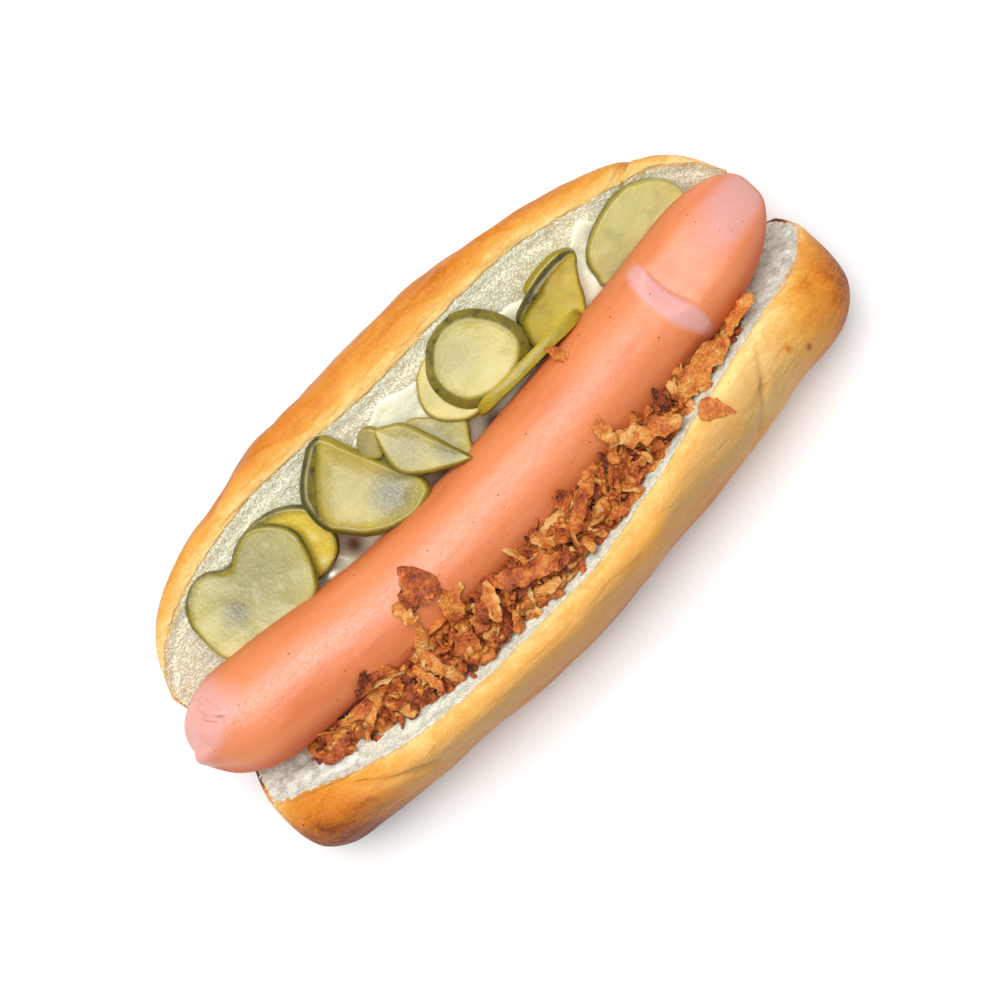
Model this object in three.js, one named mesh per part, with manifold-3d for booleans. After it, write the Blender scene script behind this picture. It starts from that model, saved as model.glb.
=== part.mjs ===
// A hot dog: a wheat bun sliced along its top and opened like a book, holding one frankfurter, ten pickle
// slices on dressing along one side, and a heap of crisp fried onions along the other.
// Millimetres. +X runs along the bun, +Y towards the pickles, +Z up. The origin is on the surface that the
// bun rests on, under the middle of its length and width.
import * as THREE from "three";
import Module from "manifold-3d";

const wasm = await Module();
wasm.setup();

// ---- driving dimensions -------------------------------------------------------------------------------

// Where the crumb ends, and how far the crust bulges past it there.
const BUN_ENDS = { left: -87, pickleRight: 87.8, onionRight: 90.6 };
const END_BULGE = { pickle: 1.2, onion: 4.8 };
const HINGE_HEIGHT = 8; // crumb left under the slice, where the two halves stay joined
const FACE_POWER = 1.25; // 1 is a flat V between the halves; more rounds the bottom of the slice
const SAUSAGE_RADIUS = 13.3;
const SAUSAGE_ENDS = [-90.3, 88.2];
const SLICE_THICKNESS = 2.4; // of a pickle slice
const GAP = 0.35; // between neighbours

// Curves along the bun, as points of x and the value there.
const RIM_PICKLE_SIDE = curve([
  [-90, 8], [-86, 16], [-78, 23.5], [-62, 28.8], [-38, 31.6], [-5, 29.3], [20, 30], [38, 29.6],
  [58, 25.2], [76, 21], [85, 14.5], [90, 7],
]);
const RIM_ONION_SIDE = curve([
  [-90, -11], [-86, -19.5], [-78, -23.8], [-58, -31], [-36, -34], [0, -34], [22, -30.8], [42, -26],
  [66, -20.5], [84, -16], [90, -10],
]);
const SIDE_PICKLE_SIDE = curve([
  [-90, 12], [-86, 19], [-77, 29.4], [-62, 36.2], [-50, 39], [-37, 41.9], [-26, 43], [-13, 42.4],
  [12, 42.2], [27, 41], [40, 38.2], [51, 36], [59, 34.1], [67, 31], [75, 26.4], [83, 20], [90, 11],
]);
const SIDE_ONION_SIDE = curve([
  [-89, -35], [-80, -38.6], [-69, -39.6], [-61, -40.1], [-50, -41.6], [-37, -42.5], [-21, -43.6],
  [-5, -44.1], [11, -42.6], [22, -40.7], [35, -40.1], [51, -38.1], [67, -35.3], [80, -34.2], [92, -28],
]);
const RIM_HEIGHT = curve([
  [-90, 19], [-84, 26], [-72, 31.5], [-50, 36], [0, 37.5], [45, 36], [68, 32], [83, 25.5], [90, 19],
]);
const HINGE_LINE = curve([[-90, -1], [-20, -3.5], [20, -3.5], [90, 0]]);
const SAUSAGE_Y = curve([
  [-91, 0], [-75, -2.2], [-58, -4], [-34, -7.4], [0, -7.6], [25, -5.6], [42, -4], [63, -1.6], [88.5, 2.6],
]);
const SAUSAGE_Z = curve([[-91, 28.5], [-45, 28], [0, 28], [50, 28], [88.5, 29.5]]);

// ---- small helpers --------------------------------------------------------------------------------------

// A smooth curve through points [x, value]: cubic pieces whose slope at a point is that of its two
// neighbours, held level outside the ends.
function curve(points) {
  const slope = (i) => {
    const a = points[Math.max(0, i - 1)];
    const b = points[Math.min(points.length - 1, i + 1)];
    return (b[1] - a[1]) / (b[0] - a[0]);
  };
  return (x) => {
    const last = points.length - 1;
    if (x <= points[0][0]) return points[0][1];
    if (x >= points[last][0]) return points[last][1];
    const i = points.findIndex((p, k) => k < last && x <= points[k + 1][0]);
    const [x0, y0] = points[i];
    const [x1, y1] = points[i + 1];
    const h = x1 - x0;
    const t = (x - x0) / h;
    const s = 1 - t;
    return (
      y0 * (1 + 2 * t) * s * s + slope(i) * h * t * s * s +
      y1 * (1 + 2 * s) * t * t - slope(i + 1) * h * s * t * t
    );
  };
}

const clamp = (v, low, high) => Math.min(high, Math.max(low, v));
const mix = (a, b, t) => a + (b - a) * t;
const range = (count) => Array.from({ length: count + 1 }, (_, i) => i / count);

// 0 below a, 1 above b, smooth between.
function ramp(a, b, v) {
  const t = clamp((v - a) / (b - a), 0, 1);
  return t * t * (3 - 2 * t);
}

// A repeatable random number from 0 to 1 at each call.
function randomFrom(seed) {
  let state = seed;
  return () => {
    state = (state * 1664525 + 1013904223) % 4294967296;
    return state / 4294967296;
  };
}

// A manifold solid from points and triangles; points that coincide are made one.
function solid(points, triangles) {
  const seen = new Map();
  const vertices = [];
  const index = points.map((p) => {
    const key = p.map((v) => Math.round(v * 1e4)).join();
    if (!seen.has(key)) {
      seen.set(key, vertices.length / 3);
      vertices.push(...p);
    }
    return seen.get(key);
  });
  const kept = triangles
    .map((t) => t.map((i) => index[i]))
    .filter(([a, b, c]) => a !== b && b !== c && c !== a);
  const made = new wasm.Manifold(
    new wasm.Mesh({
      numProp: 3,
      vertProperties: new Float32Array(vertices),
      triVerts: new Uint32Array(kept.flat()),
    }),
  );
  if (made.volume() > 0) return made;
  return new wasm.Manifold(
    new wasm.Mesh({
      numProp: 3,
      vertProperties: new Float32Array(vertices),
      triVerts: new Uint32Array(kept.map(([a, b, c]) => [a, c, b]).flat()),
    }),
  );
}

// Two triangles for each cell of a grid of rows x columns points that starts at index first.
function gridTriangles(rows, columns, first, flipped) {
  const out = [];
  for (let i = 0; i < rows - 1; i++) {
    for (let j = 0; j < columns - 1; j++) {
      const a = first + i * columns + j;
      const [b, c, d] = [a + 1, a + columns, a + columns + 1];
      if (flipped) out.push([a, c, b], [b, c, d]);
      else out.push([a, b, c], [b, d, c]);
    }
  }
  return out;
}

// A closed solid between two sheets, each a function of (u, v) from 0 to 1, that meet along all four edges.
function betweenSheets(us, vs, upper, lower) {
  const points = [];
  for (const sheet of [upper, lower]) for (const u of us) for (const v of vs) points.push(sheet(u, v));
  const count = us.length * vs.length;
  return solid(points, [
    ...gridTriangles(us.length, vs.length, 0, false),
    ...gridTriangles(us.length, vs.length, count, true),
  ]);
}

// The biggest piece of a cut solid, without its slivers.
const largest = (made) => made.decompose().sort((a, b) => b.volume() - a.volume())[0].simplify(0.03);

// ---- the bun --------------------------------------------------------------------------------------------

// Height of the cut crumb at (x, y): a V from the hinge up to each rim, pressed down to clear the sausage.
function crumbHeight(x, y) {
  const hinge = HINGE_LINE(x);
  const rim = y > hinge ? RIM_PICKLE_SIDE(x) : RIM_ONION_SIDE(x);
  const reach = clamp((y - hinge) / (rim - hinge), 0, 1.2);
  const open = mix(HINGE_HEIGHT, RIM_HEIGHT(x), Math.pow(reach, FACE_POWER));
  const bed = SAUSAGE_RADIUS * Math.max(sausageRadius(x - 1.5), sausageRadius(x + 1.5)) + GAP + 0.15;
  const across = y - SAUSAGE_Y(x);
  if (Math.abs(across) >= bed) return open;
  return Math.min(open, SAUSAGE_Z(x) - Math.sqrt(bed * bed - across * across));
}

// One half's crust, from the base's centre line (w = 0) round the side to the rim (w = 1).
function crustPoint(x, end, rim, rimZ, side, w) {
  const hinge = HINGE_LINE(x);
  const lift = 9 * Math.pow(clamp((end - 0.72) / 0.28, 0, 1), 2); // the base curves up at the ends
  const outward = Math.sign(side);
  const band = Math.abs(side - rim);
  const foot = mix(hinge, side, 0.5);
  const sideZ = mix(rimZ * 0.5, rimZ * 0.74, ramp(0.8, 1, end)) + lift * 0.2;
  const crest = rim + outward * Math.min(band * 0.42, 5.5);
  const crestZ = rimZ + Math.min(2.6, band * 0.16);
  const [baseEnd, sideEnd, crestEnd] = [0.3, 0.6, 0.86];
  if (w <= baseEnd) return [mix(hinge, foot, w / baseEnd), lift];
  if (w <= sideEnd) {
    const a = ((w - baseEnd) / (sideEnd - baseEnd)) * (Math.PI / 2);
    return [mix(foot, side, Math.pow(Math.sin(a), 0.86)), mix(sideZ, lift, Math.pow(Math.cos(a), 0.94))];
  }
  if (w <= crestEnd) {
    const a = ((w - sideEnd) / (crestEnd - sideEnd)) * (Math.PI / 2);
    return [mix(crest, side, Math.pow(Math.cos(a), 0.9)), mix(sideZ, crestZ, Math.pow(Math.sin(a), 0.9))];
  }
  const a = ((w - crestEnd) / (1 - crestEnd)) * (Math.PI / 2);
  return [mix(crest, rim, Math.sin(a)), mix(rimZ, crestZ, Math.cos(a))];
}

// Creases pressed into the crust: where they start and end along x, how far up the crust, and how deep.
const CREASES = [
  { side: 1, from: [66, 0.62], to: [76, 0.95], depth: 2.2, width: 2.6 },
  { side: -1, from: [60, 0.86], to: [76, 0.74], depth: 1.3, width: 2.4 },
  { side: -1, from: [-72, 0.92], to: [-38, 0.7], depth: 1.6, width: 3.0 },
  { side: 1, from: [-50, 0.8], to: [-20, 0.66], depth: 1.2, width: 3.0 },
];

// How far the crust sinks at (x, w) on one side, from the creases and the bun's own unevenness.
function crustRelief(x, side, w) {
  let sink = 0;
  for (const c of CREASES) {
    if (c.side !== side) continue;
    const t = clamp((x - c.from[0]) / (c.to[0] - c.from[0]), 0, 1);
    const offX = x - mix(c.from[0], c.to[0], t);
    const offW = (w - mix(c.from[1], c.to[1], t)) * 60;
    sink += c.depth * Math.exp(-(offX * offX + offW * offW) / (c.width * c.width));
  }
  const swell = Math.sin(x * 0.11 + side) * Math.sin(w * 7 + x * 0.05) + 0.6 * Math.sin(x * 0.23 + w * 9);
  return sink + 0.35 * swell;
}

// The bun as two sheets, crumb above and crust below, joined along the rims and round both ends.
// raise lifts the crumb, which gives the room that its neighbours keep clear of.
function bunSolid(raise) {
  const stations = range(36).map((t) => 0.5 - 0.5 * Math.cos(Math.PI * mix(0.06, 0.94, t)));
  const [first, last] = [stations[0], stations[stations.length - 1]];
  const us = stations.map((t) => (t - first) / (last - first));
  const vs = range(24);
  const place = (u, v) => {
    const across = 2 * v - 1;
    const way = across < 0 ? -1 : 1;
    const w = Math.abs(across);
    const along = 2 * u - 1;
    const right = way > 0 ? BUN_ENDS.pickleRight : mix(BUN_ENDS.pickleRight, BUN_ENDS.onionRight, ramp(0, 0.4, w));
    const reach = along < 0 ? -BUN_ENDS.left : right;
    const x = along * (reach - 3 * Math.pow(1 - w, 2)); // shorter at the hinge
    const rim = way > 0 ? RIM_PICKLE_SIDE(x) : RIM_ONION_SIDE(x);
    const side = way > 0 ? SIDE_PICKLE_SIDE(x) : SIDE_ONION_SIDE(x);
    return { x, way, w, along, rim, side };
  };
  const crumb = (u, v) => {
    const { x, w, rim } = place(u, v);
    const y = mix(HINGE_LINE(x), rim, w);
    return [x, y, crumbHeight(x, y) + raise * (1 - Math.pow(w, 8))];
  };
  const crust = (u, v) => {
    const { x, way, w, along, rim, side } = place(u, v);
    const inner = crumb(u, v);
    const [y, z] = crustPoint(x, Math.abs(along), rim, crumbHeight(x, rim), side, w);
    const full = Math.sqrt(Math.max(0, 1 - Math.pow(Math.abs(along), 22)));
    const sink = crustRelief(x, way, w) * ramp(0.3, 0.5, w) * (1 - ramp(0.93, 1, w));
    const most = way > 0 ? END_BULGE.pickle : END_BULGE.onion;
    const bulge = most * Math.sign(along) * full * ramp(0.8, 1, Math.abs(along)) * Math.sin(Math.PI * w);
    return [x + bulge, mix(inner[1], y - way * sink * 0.8, full), mix(inner[2], z - sink * 0.6, full)];
  };
  return betweenSheets(us, vs, crumb, crust);
}

// ---- the sausage ----------------------------------------------------------------------------------------

// Radius at x: full along the middle, closing as a blunt cap at the left and a longer one at the right.
function sausageRadius(x) {
  const cap = (distance, length, power) =>
    distance <= 0 ? 0 : distance >= length ? 1 : Math.pow(Math.max(0, 1 - Math.pow(1 - distance / length, power)), 1 / power);
  return cap(x - SAUSAGE_ENDS[0], 17, 2) * cap(SAUSAGE_ENDS[1] - x, 26, 2.1);
}

// The frankfurter: rings across x that follow the bowed centre line. Its right end is pressed flat on top
// behind a step, and its left end is puckered round a small knot.
function sausageSolid(grow) {
  const sides = 20;
  const [low, high] = SAUSAGE_ENDS;
  const plain = range(28).map((t) => mix(low, high, 0.5 - 0.5 * Math.cos(Math.PI * t)));
  const xs = [...plain.slice(1, -1).filter((x) => x < 47 || x > 61), 47.5, 50, 51.5, 53, 54.5, 56, 57.5, 60];
  xs.sort((a, b) => a - b);
  const points = [];
  for (const x of xs) {
    const r = SAUSAGE_RADIUS * sausageRadius(x) + grow;
    for (let j = 0; j < sides; j++) {
      const a = (2 * Math.PI * j) / sides;
      const step = 1.9 * ramp(50.5, 56.5, x - 1.2 * Math.cos(a)) * Math.pow(Math.max(0, Math.sin(a)), 1.3);
      const pucker = 0.5 * Math.cos(5 * a) * ramp(8, 2, x - low);
      points.push([x, SAUSAGE_Y(x) + (r - pucker) * Math.cos(a), SAUSAGE_Z(x) + (r - pucker) * Math.sin(a) - step]);
    }
  }
  const knot = points.push([low - 0.3 - grow, SAUSAGE_Y(low), SAUSAGE_Z(low) - 1]) - 1;
  const tip = points.push([high + grow, SAUSAGE_Y(high), SAUSAGE_Z(high)]) - 1;
  const triangles = [];
  const lastRing = (xs.length - 1) * sides;
  for (let j = 0; j < sides; j++) {
    const k = (j + 1) % sides;
    triangles.push([knot, k, j], [tip, lastRing + j, lastRing + k]);
    for (let i = 0; i < xs.length - 1; i++) {
      const [a, b] = [i * sides + j, i * sides + k];
      triangles.push([a, b, a + sides], [b, b + sides, a + sides]);
    }
  }
  return solid(points, triangles);
}

// ---- pickle slices --------------------------------------------------------------------------------------

// Each slice is a thin wavy disc: the middle of its thickness passes through its centre and its rim's points.
// Its normal part follows the distance from the centre to the power of the slice's curl, so that a curl of 2
// makes a dish and a higher one turns up only near the rim. The bevel is how far the peel slopes inwards on
// top, where the gherkin tapers.
const SLICES = [
  {
    name: "pickle_standing", centre: [24, 9.8, 29.5], curl: 2, bevel: 0.2,
    rim: [
      [9.5, 9.6, 34], [16, 9.2, 36.5], [24.5, 9, 37.2], [32.5, 9, 36.5], [38.5, 9, 34.5], [40.5, 9.6, 30],
      [38, 10.2, 25.5], [32, 10.6, 22.8], [24, 10.8, 22], [16, 10.6, 23], [10, 10.2, 26], [8, 9.8, 30.5],
    ],
  },
  {
    name: "pickle_folded", centre: [-7, 12, 37], curl: 2, bevel: 0.5,
    rim: [
      [-11, 22.5, 37.5], [-9, 21.5, 38], [-5.5, 19, 38.5], [-2.5, 12, 38], [-1, 7, 37.5], [0.3, 2, 37],
      [-1.5, 2.5, 37], [-5.5, 4.5, 37], [-8.5, 6, 37], [-13, 10, 37], [-14, 13, 37.5], [-12.5, 19.5, 37.5],
    ],
    flap: {
      centre: [-14, 20.5, 35.6], curl: 2, bevel: 0.3,
      rim: [[-12, 24.5, 37.3], [-10, 22, 37.5], [-11.5, 19.5, 36], [-13.5, 17, 34.5], [-17, 20.5, 34], [-15, 24, 36]],
    },
  },
  {
    name: "pickle_saddle", centre: [-55, 17, 32], curl: 2, bevel: 0.5,
    rim: [
      [-67.5, 27, 31.5], [-64, 28.5, 32], [-61, 28, 32.5], [-57, 25.3, 33], [-54, 25.3, 33.8], [-50, 26.7, 34.8],
      [-46, 27, 35.5], [-43, 25.2, 36], [-40.5, 22.5, 36], [-39, 19, 36], [-39.5, 15.5, 35.5], [-41, 11.5, 34.5],
      [-44.5, 6.5, 33.5], [-49, 5, 32], [-55.5, 4.8, 31], [-62, 5.5, 30], [-68.5, 7.8, 29], [-71.5, 11.5, 29],
      [-72, 16.5, 29.5], [-71.5, 22, 30], [-69.7, 25.5, 31],
    ],
  },
  {
    name: "pickle_curled", centre: [-24, 16, 33], curl: 3.4, bevel: 0.4,
    rim: [
      [-23, 30.5, 37.6], [-20.5, 30, 37.8], [-17.5, 23.5, 36.6], [-15, 18, 34.8], [-13, 13, 34], [-10.5, 7.5, 34],
      [-11, 4.5, 34.8], [-12.5, 3.5, 35], [-17, 2.5, 34.6], [-24.5, 4.5, 34], [-29, 7.5, 34], [-31.5, 10.5, 34],
      [-34, 14, 34.5], [-34.5, 17, 35.5], [-34, 20, 36.5], [-33, 23, 37], [-30, 26, 37.4], [-26.5, 28.6, 37.6],
    ],
  },
  {
    name: "pickle_ring", centre: [16.5, 18.3, 34.5], curl: 2, bevel: 2.3,
    rim: [
      [4.3, 18.5, 35], [5.3, 22.5, 35.5], [8, 26, 36], [11.5, 28.6, 36.5], [15, 29.5, 37], [18.8, 29.2, 37.2],
      [23, 27, 37.5], [26, 23.5, 37], [28, 19, 37], [28.5, 15, 36.5], [27.5, 12, 36], [25, 9.5, 35],
      [19.5, 7.5, 34.5], [14.5, 7.5, 34], [10.5, 8.8, 34], [7, 11, 34.5], [5, 14.5, 35],
    ],
  },
  {
    name: "pickle_tucked", centre: [37.5, 15.5, 31.5], curl: 2, bevel: 0.3,
    rim: [
      [29, 18, 33.5], [32, 19, 35], [35, 19.6, 36.2], [39.5, 20.2, 37], [44.5, 20.5, 37], [47.5, 20.2, 36.4],
      [48.8, 19.2, 35.8], [47.5, 17.5, 34.6], [45.5, 14.5, 32.5], [43.2, 10.5, 29.5], [40.5, 8, 27.6],
      [33.5, 8.8, 26.5], [27.5, 11.2, 27.4], [27.4, 15, 30.8],
    ],
  },
  {
    name: "pickle_wide", centre: [62, 13.5, 29.5], curl: 2, bevel: 0.9,
    rim: [
      [53, 20, 31], [55.5, 21, 32], [60, 22.2, 33], [64, 22.6, 33.5], [67.5, 22.3, 33.5], [70.5, 21, 33.2],
      [73.5, 19, 32.5], [75.5, 16.5, 31.5], [76.5, 13.5, 30], [75.5, 9, 28.5], [65.5, 7, 26], [56, 7.5, 25.5],
      [48, 10.5, 26.5], [48.3, 13, 27.5], [48.7, 16, 29], [50.5, 18.4, 30],
    ],
  },
  {
    name: "pickle_under", centre: [10.5, 18.5, 32], curl: 2, bevel: 0.2,
    rim: [
      [4, 25, 33], [1.8, 22.5, 33], [0, 19, 32.6], [0, 16, 32.2], [2, 12.5, 32], [5.5, 9.7, 32], [9, 9, 31.8],
      [13.5, 9.5, 31.5], [19.5, 13.5, 31.6], [20, 19, 32], [16.5, 26, 33], [9, 27, 33],
    ],
  },
  {
    name: "pickle_pale", centre: [-2, 12, 31.4], curl: 2, bevel: 0.2,
    rim: [
      [-6, 19.2, 32], [-3.5, 19.5, 31.5], [-1, 17.5, 31], [2.5, 14, 30.4], [5.2, 10, 30.8], [3.2, 6.5, 32],
      [0.8, 3, 33.2], [-3.5, 5, 32.5], [-6.5, 9, 32], [-7.5, 14, 32],
    ],
  },
  {
    name: "pickle_yellow", centre: [-43.5, 18.5, 30.2], curl: 2, bevel: 0.4,
    rim: [
      [-53, 27, 31], [-48, 28.4, 32], [-43.5, 28, 32.6], [-38.5, 26.3, 33], [-34.5, 23, 33], [-32.3, 18.5, 32.5],
      [-33.3, 12.8, 31.5], [-35.5, 9.7, 30.5], [-38.5, 8.5, 29.5], [-43, 8.5, 28.5], [-49, 10, 28],
      [-55, 16, 28.5], [-56, 23.5, 30],
    ],
  },
  {
    name: "pickle_crescent", centre: [42.5, 19.8, 31.5], curl: 2, bevel: 0.2,
    rim: [
      [34.5, 21.2, 32.5], [38, 22.4, 33.6], [42, 22.8, 34], [46, 22.4, 34], [49, 20.5, 33.3], [47.5, 17.5, 32],
      [42, 17, 30], [36, 18, 30],
    ],
  },
];
const SLICE_SIDES = 20;
const SLICE_RINGS = [0, 0.5, 0.8, 1];

// Evenly spaced points of the smooth closed curve through the given ones.
function around(points, count) {
  const at = (i) => new THREE.Vector3(...points[(i + points.length) % points.length]);
  const loop = new THREE.CatmullRomCurve3(points.map((_, i) => at(i)), true, "centripetal");
  return loop.getSpacedPoints(count).slice(0, count);
}

// One pickle slice as a closed solid; both faces are split into triangles alike.
function sliceSolid(slice, grow) {
  const centre = new THREE.Vector3(...slice.centre);
  const spokes = around(slice.rim, SLICE_SIDES).map((p) => p.sub(centre));
  const up = new THREE.Vector3();
  spokes.forEach((p, i) => up.add(new THREE.Vector3().crossVectors(p, spokes[(i + 1) % SLICE_SIDES])));
  up.normalize();
  if (up.z < 0) up.negate();
  const half = SLICE_THICKNESS / 2 + grow;
  const middle = (ring, j) => {
    const spoke = spokes[(j + SLICE_SIDES) % SLICE_SIDES];
    const height = spoke.dot(up);
    const flat = spoke.clone().addScaledVector(up, -height);
    const scale = ring * (1 + grow / flat.length());
    return centre.clone().addScaledVector(flat, scale).addScaledVector(up, height * Math.pow(ring, slice.curl));
  };
  const faceNormal = (ring, j) => {
    const outwards = middle(ring + 0.02, j).sub(middle(Math.max(0, ring - 0.02), j));
    const round = middle(Math.max(ring, 0.05), j + 1).sub(middle(Math.max(ring, 0.05), j - 1));
    const n = new THREE.Vector3().crossVectors(outwards, round).normalize();
    return n.dot(up) < 0 ? n.negate() : n;
  };
  const points = [];
  for (const side of [1, -1]) {
    for (const ring of SLICE_RINGS) {
      for (let j = 0; j < SLICE_SIDES; j++) {
        const inset = side > 0 ? 1 - slice.bevel / spokes[j].length() : 1;
        const n = ring === 0 ? up : faceNormal(ring * inset, j);
        points.push(middle(ring * inset, j).addScaledVector(n, side * half).toArray());
      }
    }
  }
  const triangles = [];
  const face = SLICE_RINGS.length * SLICE_SIDES;
  for (let i = 0; i < SLICE_RINGS.length - 1; i++) {
    for (let j = 0; j < SLICE_SIDES; j++) {
      const [a, b] = [i * SLICE_SIDES + j, i * SLICE_SIDES + ((j + 1) % SLICE_SIDES)];
      const [c, d] = [a + SLICE_SIDES, b + SLICE_SIDES];
      triangles.push([a, c, b], [b, c, d]);
      triangles.push([face + a, face + b, face + c], [face + b, face + d, face + c]);
    }
  }
  for (let j = 0; j < SLICE_SIDES; j++) {
    const [a, b] = [face - SLICE_SIDES + j, face - SLICE_SIDES + ((j + 1) % SLICE_SIDES)];
    triangles.push([a, face + a, b], [b, face + a, face + b]);
  }
  const made = solid(points, triangles);
  return slice.flap ? made.add(sliceSolid(slice.flap, grow)) : made;
}

// ---- fillings that lie in the slice ---------------------------------------------------------------------

// A filling from x = ends[0] to ends[1], between the curves yLow and yHigh, resting on the crumb and
// rounded off along its edges. top(x, y) is its upper surface.
function filling(ends, rows, columns, yLow, yHigh, top) {
  const place = (u, v) => {
    const x = mix(ends[0], ends[1], 0.5 - 0.5 * Math.cos(Math.PI * u));
    const y = mix(yLow(x), yHigh(x), v);
    return [x, y, crumbHeight(x, y) + 2 * GAP];
  };
  const upper = (u, v) => {
    const [x, y, floor] = place(u, v);
    const [along, across] = [Math.abs(2 * u - 1), Math.abs(2 * v - 1)];
    const full = Math.sqrt(Math.max(0, 1 - along ** 12)) * Math.sqrt(Math.max(0, 1 - across ** 8));
    return [x, y, floor + Math.max(0.6, top(x, y) - floor) * full];
  };
  return betweenSheets(range(rows), range(columns), upper, place);
}

// The white dressing under the pickles, from the sausage's side up the crumb of the pickle side.
const DRESSING_EDGE = curve([[-66, 20], [-44, 22], [-14, 26], [3, 25], [26, 22], [52, 24], [70, 18]]);
function dressingSolid() {
  const top = (x, y) => 24 + 0.35 * (y - 10) + 1.2 * Math.sin(x * 0.17) + 0.8 * Math.sin(x * 0.31 + y * 0.4);
  return filling([-66, 70], 20, 5, (x) => SAUSAGE_Y(x) + SAUSAGE_RADIUS - 1, DRESSING_EDGE, top);
}

// ---- fried onions ---------------------------------------------------------------------------------------

const HEAP_ENDS = [-72, 64];
const HEAP_OUTER = curve([
  [-72, -21.5], [-55, -25.5], [-44, -28.6], [-28, -30.8], [-11, -31], [3, -30.6], [20, -28], [38, -23.6],
  [55, -19.6], [64, -18],
]);
const HEAP_TOP = curve([[-72, 25], [-58, 30], [-42, 34], [-28, 36.5], [12, 36], [40, 32.5], [64, 27.5]]);
const FLAKES = 64;

// The packed crumbs that the flakes lie on, between the sausage and the crumb of the onion side.
function onionCore() {
  const top = (x, y) => HEAP_TOP(x) - 1.6 + 0.9 * Math.sin(x * 0.7 + y) + 0.7 * Math.sin(x * 0.43 - y * 0.9);
  return filling(HEAP_ENDS, 24, 5, HEAP_OUTER, (x) => SAUSAGE_Y(x) - SAUSAGE_RADIUS + 2.5, top);
}

// A flake: a strip of the given length, width and thickness, bent along its length and turned in place.
function flakePoints(size, bend, turn, centre) {
  const steps = 2;
  const points = [];
  for (let i = 0; i <= steps; i++) {
    const t = i / steps - 0.5;
    const taper = 1 - 0.9 * Math.pow(Math.abs(2 * t), 3) * 0.6;
    for (const [a, b] of [[-1, -1], [1, -1], [1, 1], [-1, 1]]) {
      const local = new THREE.Vector3(
        size[0] * t,
        (size[1] / 2) * a * taper,
        (size[2] / 2) * b * taper + bend * (0.25 - t * t) * 4,
      );
      points.push(local.applyEuler(turn).add(centre));
    }
  }
  return points;
}

function flakeSolid(points) {
  const triangles = [[0, 2, 1], [0, 3, 2]];
  const last = points.length - 4;
  triangles.push([last, last + 1, last + 2], [last, last + 2, last + 3]);
  for (let i = 0; i < last; i += 4) {
    for (let j = 0; j < 4; j++) {
      const [a, b] = [i + j, i + ((j + 1) % 4)];
      triangles.push([a, b, a + 4], [b, b + 4, a + 4]);
    }
  }
  return solid(points.map((p) => p.toArray()), triangles);
}

// How far these points must move for none to be in the sausage or the crumb: straight away from the
// sausage's centre line, then up.
function clearOf(points) {
  const shift = new THREE.Vector3();
  const reach = SAUSAGE_RADIUS + 2 * GAP;
  for (let turn = 0; turn < 3; turn++) {
    for (const p of points) {
      const [dy, dz] = [p.y + shift.y - SAUSAGE_Y(p.x), p.z + shift.z - SAUSAGE_Z(p.x)];
      const away = Math.hypot(dy, dz);
      if (away >= reach) continue;
      shift.y += ((reach - away) * dy) / away;
      shift.z += ((reach - away) * dz) / away;
    }
    for (const p of points) {
      const floor = crumbHeight(p.x, p.y + shift.y) + 2 * GAP;
      shift.z = Math.max(shift.z, floor - p.z);
    }
  }
  return shift;
}

function onionHeap() {
  const random = randomFrom(7);
  const between = (low, high) => mix(low, high, random());
  let heap = onionCore();
  for (let i = 0; i < FLAKES; i++) {
    const x = mix(HEAP_ENDS[0] + 1, HEAP_ENDS[1] - 1, (i + random()) / FLAKES);
    const outer = HEAP_OUTER(x);
    const inner = SAUSAGE_Y(x) - SAUSAGE_RADIUS;
    const y = mix(outer + 1, inner + 2.5, random());
    const big = random() < 0.3;
    const size = big ? [between(8, 13), between(3, 4.4), 1.1] : [between(4, 8), between(2, 3.6), 1.2];
    const turn = new THREE.Euler(between(-0.9, 0.9), between(-0.5, 0.5), between(0, Math.PI));
    const bend = between(0.2, 1.2);
    const centre = new THREE.Vector3(x, y, Math.max(HEAP_TOP(x), crumbHeight(x, y)) - between(0, 1.4));
    const points = flakePoints(size, bend, turn, centre);
    const shift = clearOf(points);
    if (shift.length() > 4.5) continue;
    heap = heap.add(flakeSolid(points.map((p) => p.clone().add(shift))));
  }
  return largest(heap);
}

// Loose flakes lying on a surface, as [x, y, length, width, turn about Z in degrees].
const FLAKES_ON_SAUSAGE = [
  [29.6, 4.2, 7.4, 2.4, -14], [46.2, -13.6, 4.6, 2, -5], [-50.5, -15, 9.4, 4.6, 38],
  [-35, -11.6, 4.6, 3.4, 70], [-31, -9.2, 9.6, 5.6, 34], [-26.6, -11, 7, 4.2, 70],
];
const FLAKE_ON_BUN = [45.2, -28.6, 7.6, 4.6, -28];

// A flat flake standing 1 proud of whatever lies at height(x, y), following its slope across Y.
function looseFlake([x, y, length, width, turn], height) {
  const slope = Math.atan(height(x, y + 0.5) - height(x, y - 0.5));
  const upright = new THREE.Euler(slope, 0, THREE.MathUtils.degToRad(turn), "XYZ");
  const centre = new THREE.Vector3(x, y, height(x, y) + 0.1 / Math.cos(slope));
  return flakeSolid(flakePoints([length, width, 1.6], 0.3, upright, centre));
}

function sausageTop(x, y) {
  const r = SAUSAGE_RADIUS * sausageRadius(x);
  const off = clamp(y - SAUSAGE_Y(x), -r, r);
  return SAUSAGE_Z(x) + Math.sqrt(r * r - off * off);
}

// ---- the whole ------------------------------------------------------------------------------------------

const hotDog = new THREE.Group();

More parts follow.
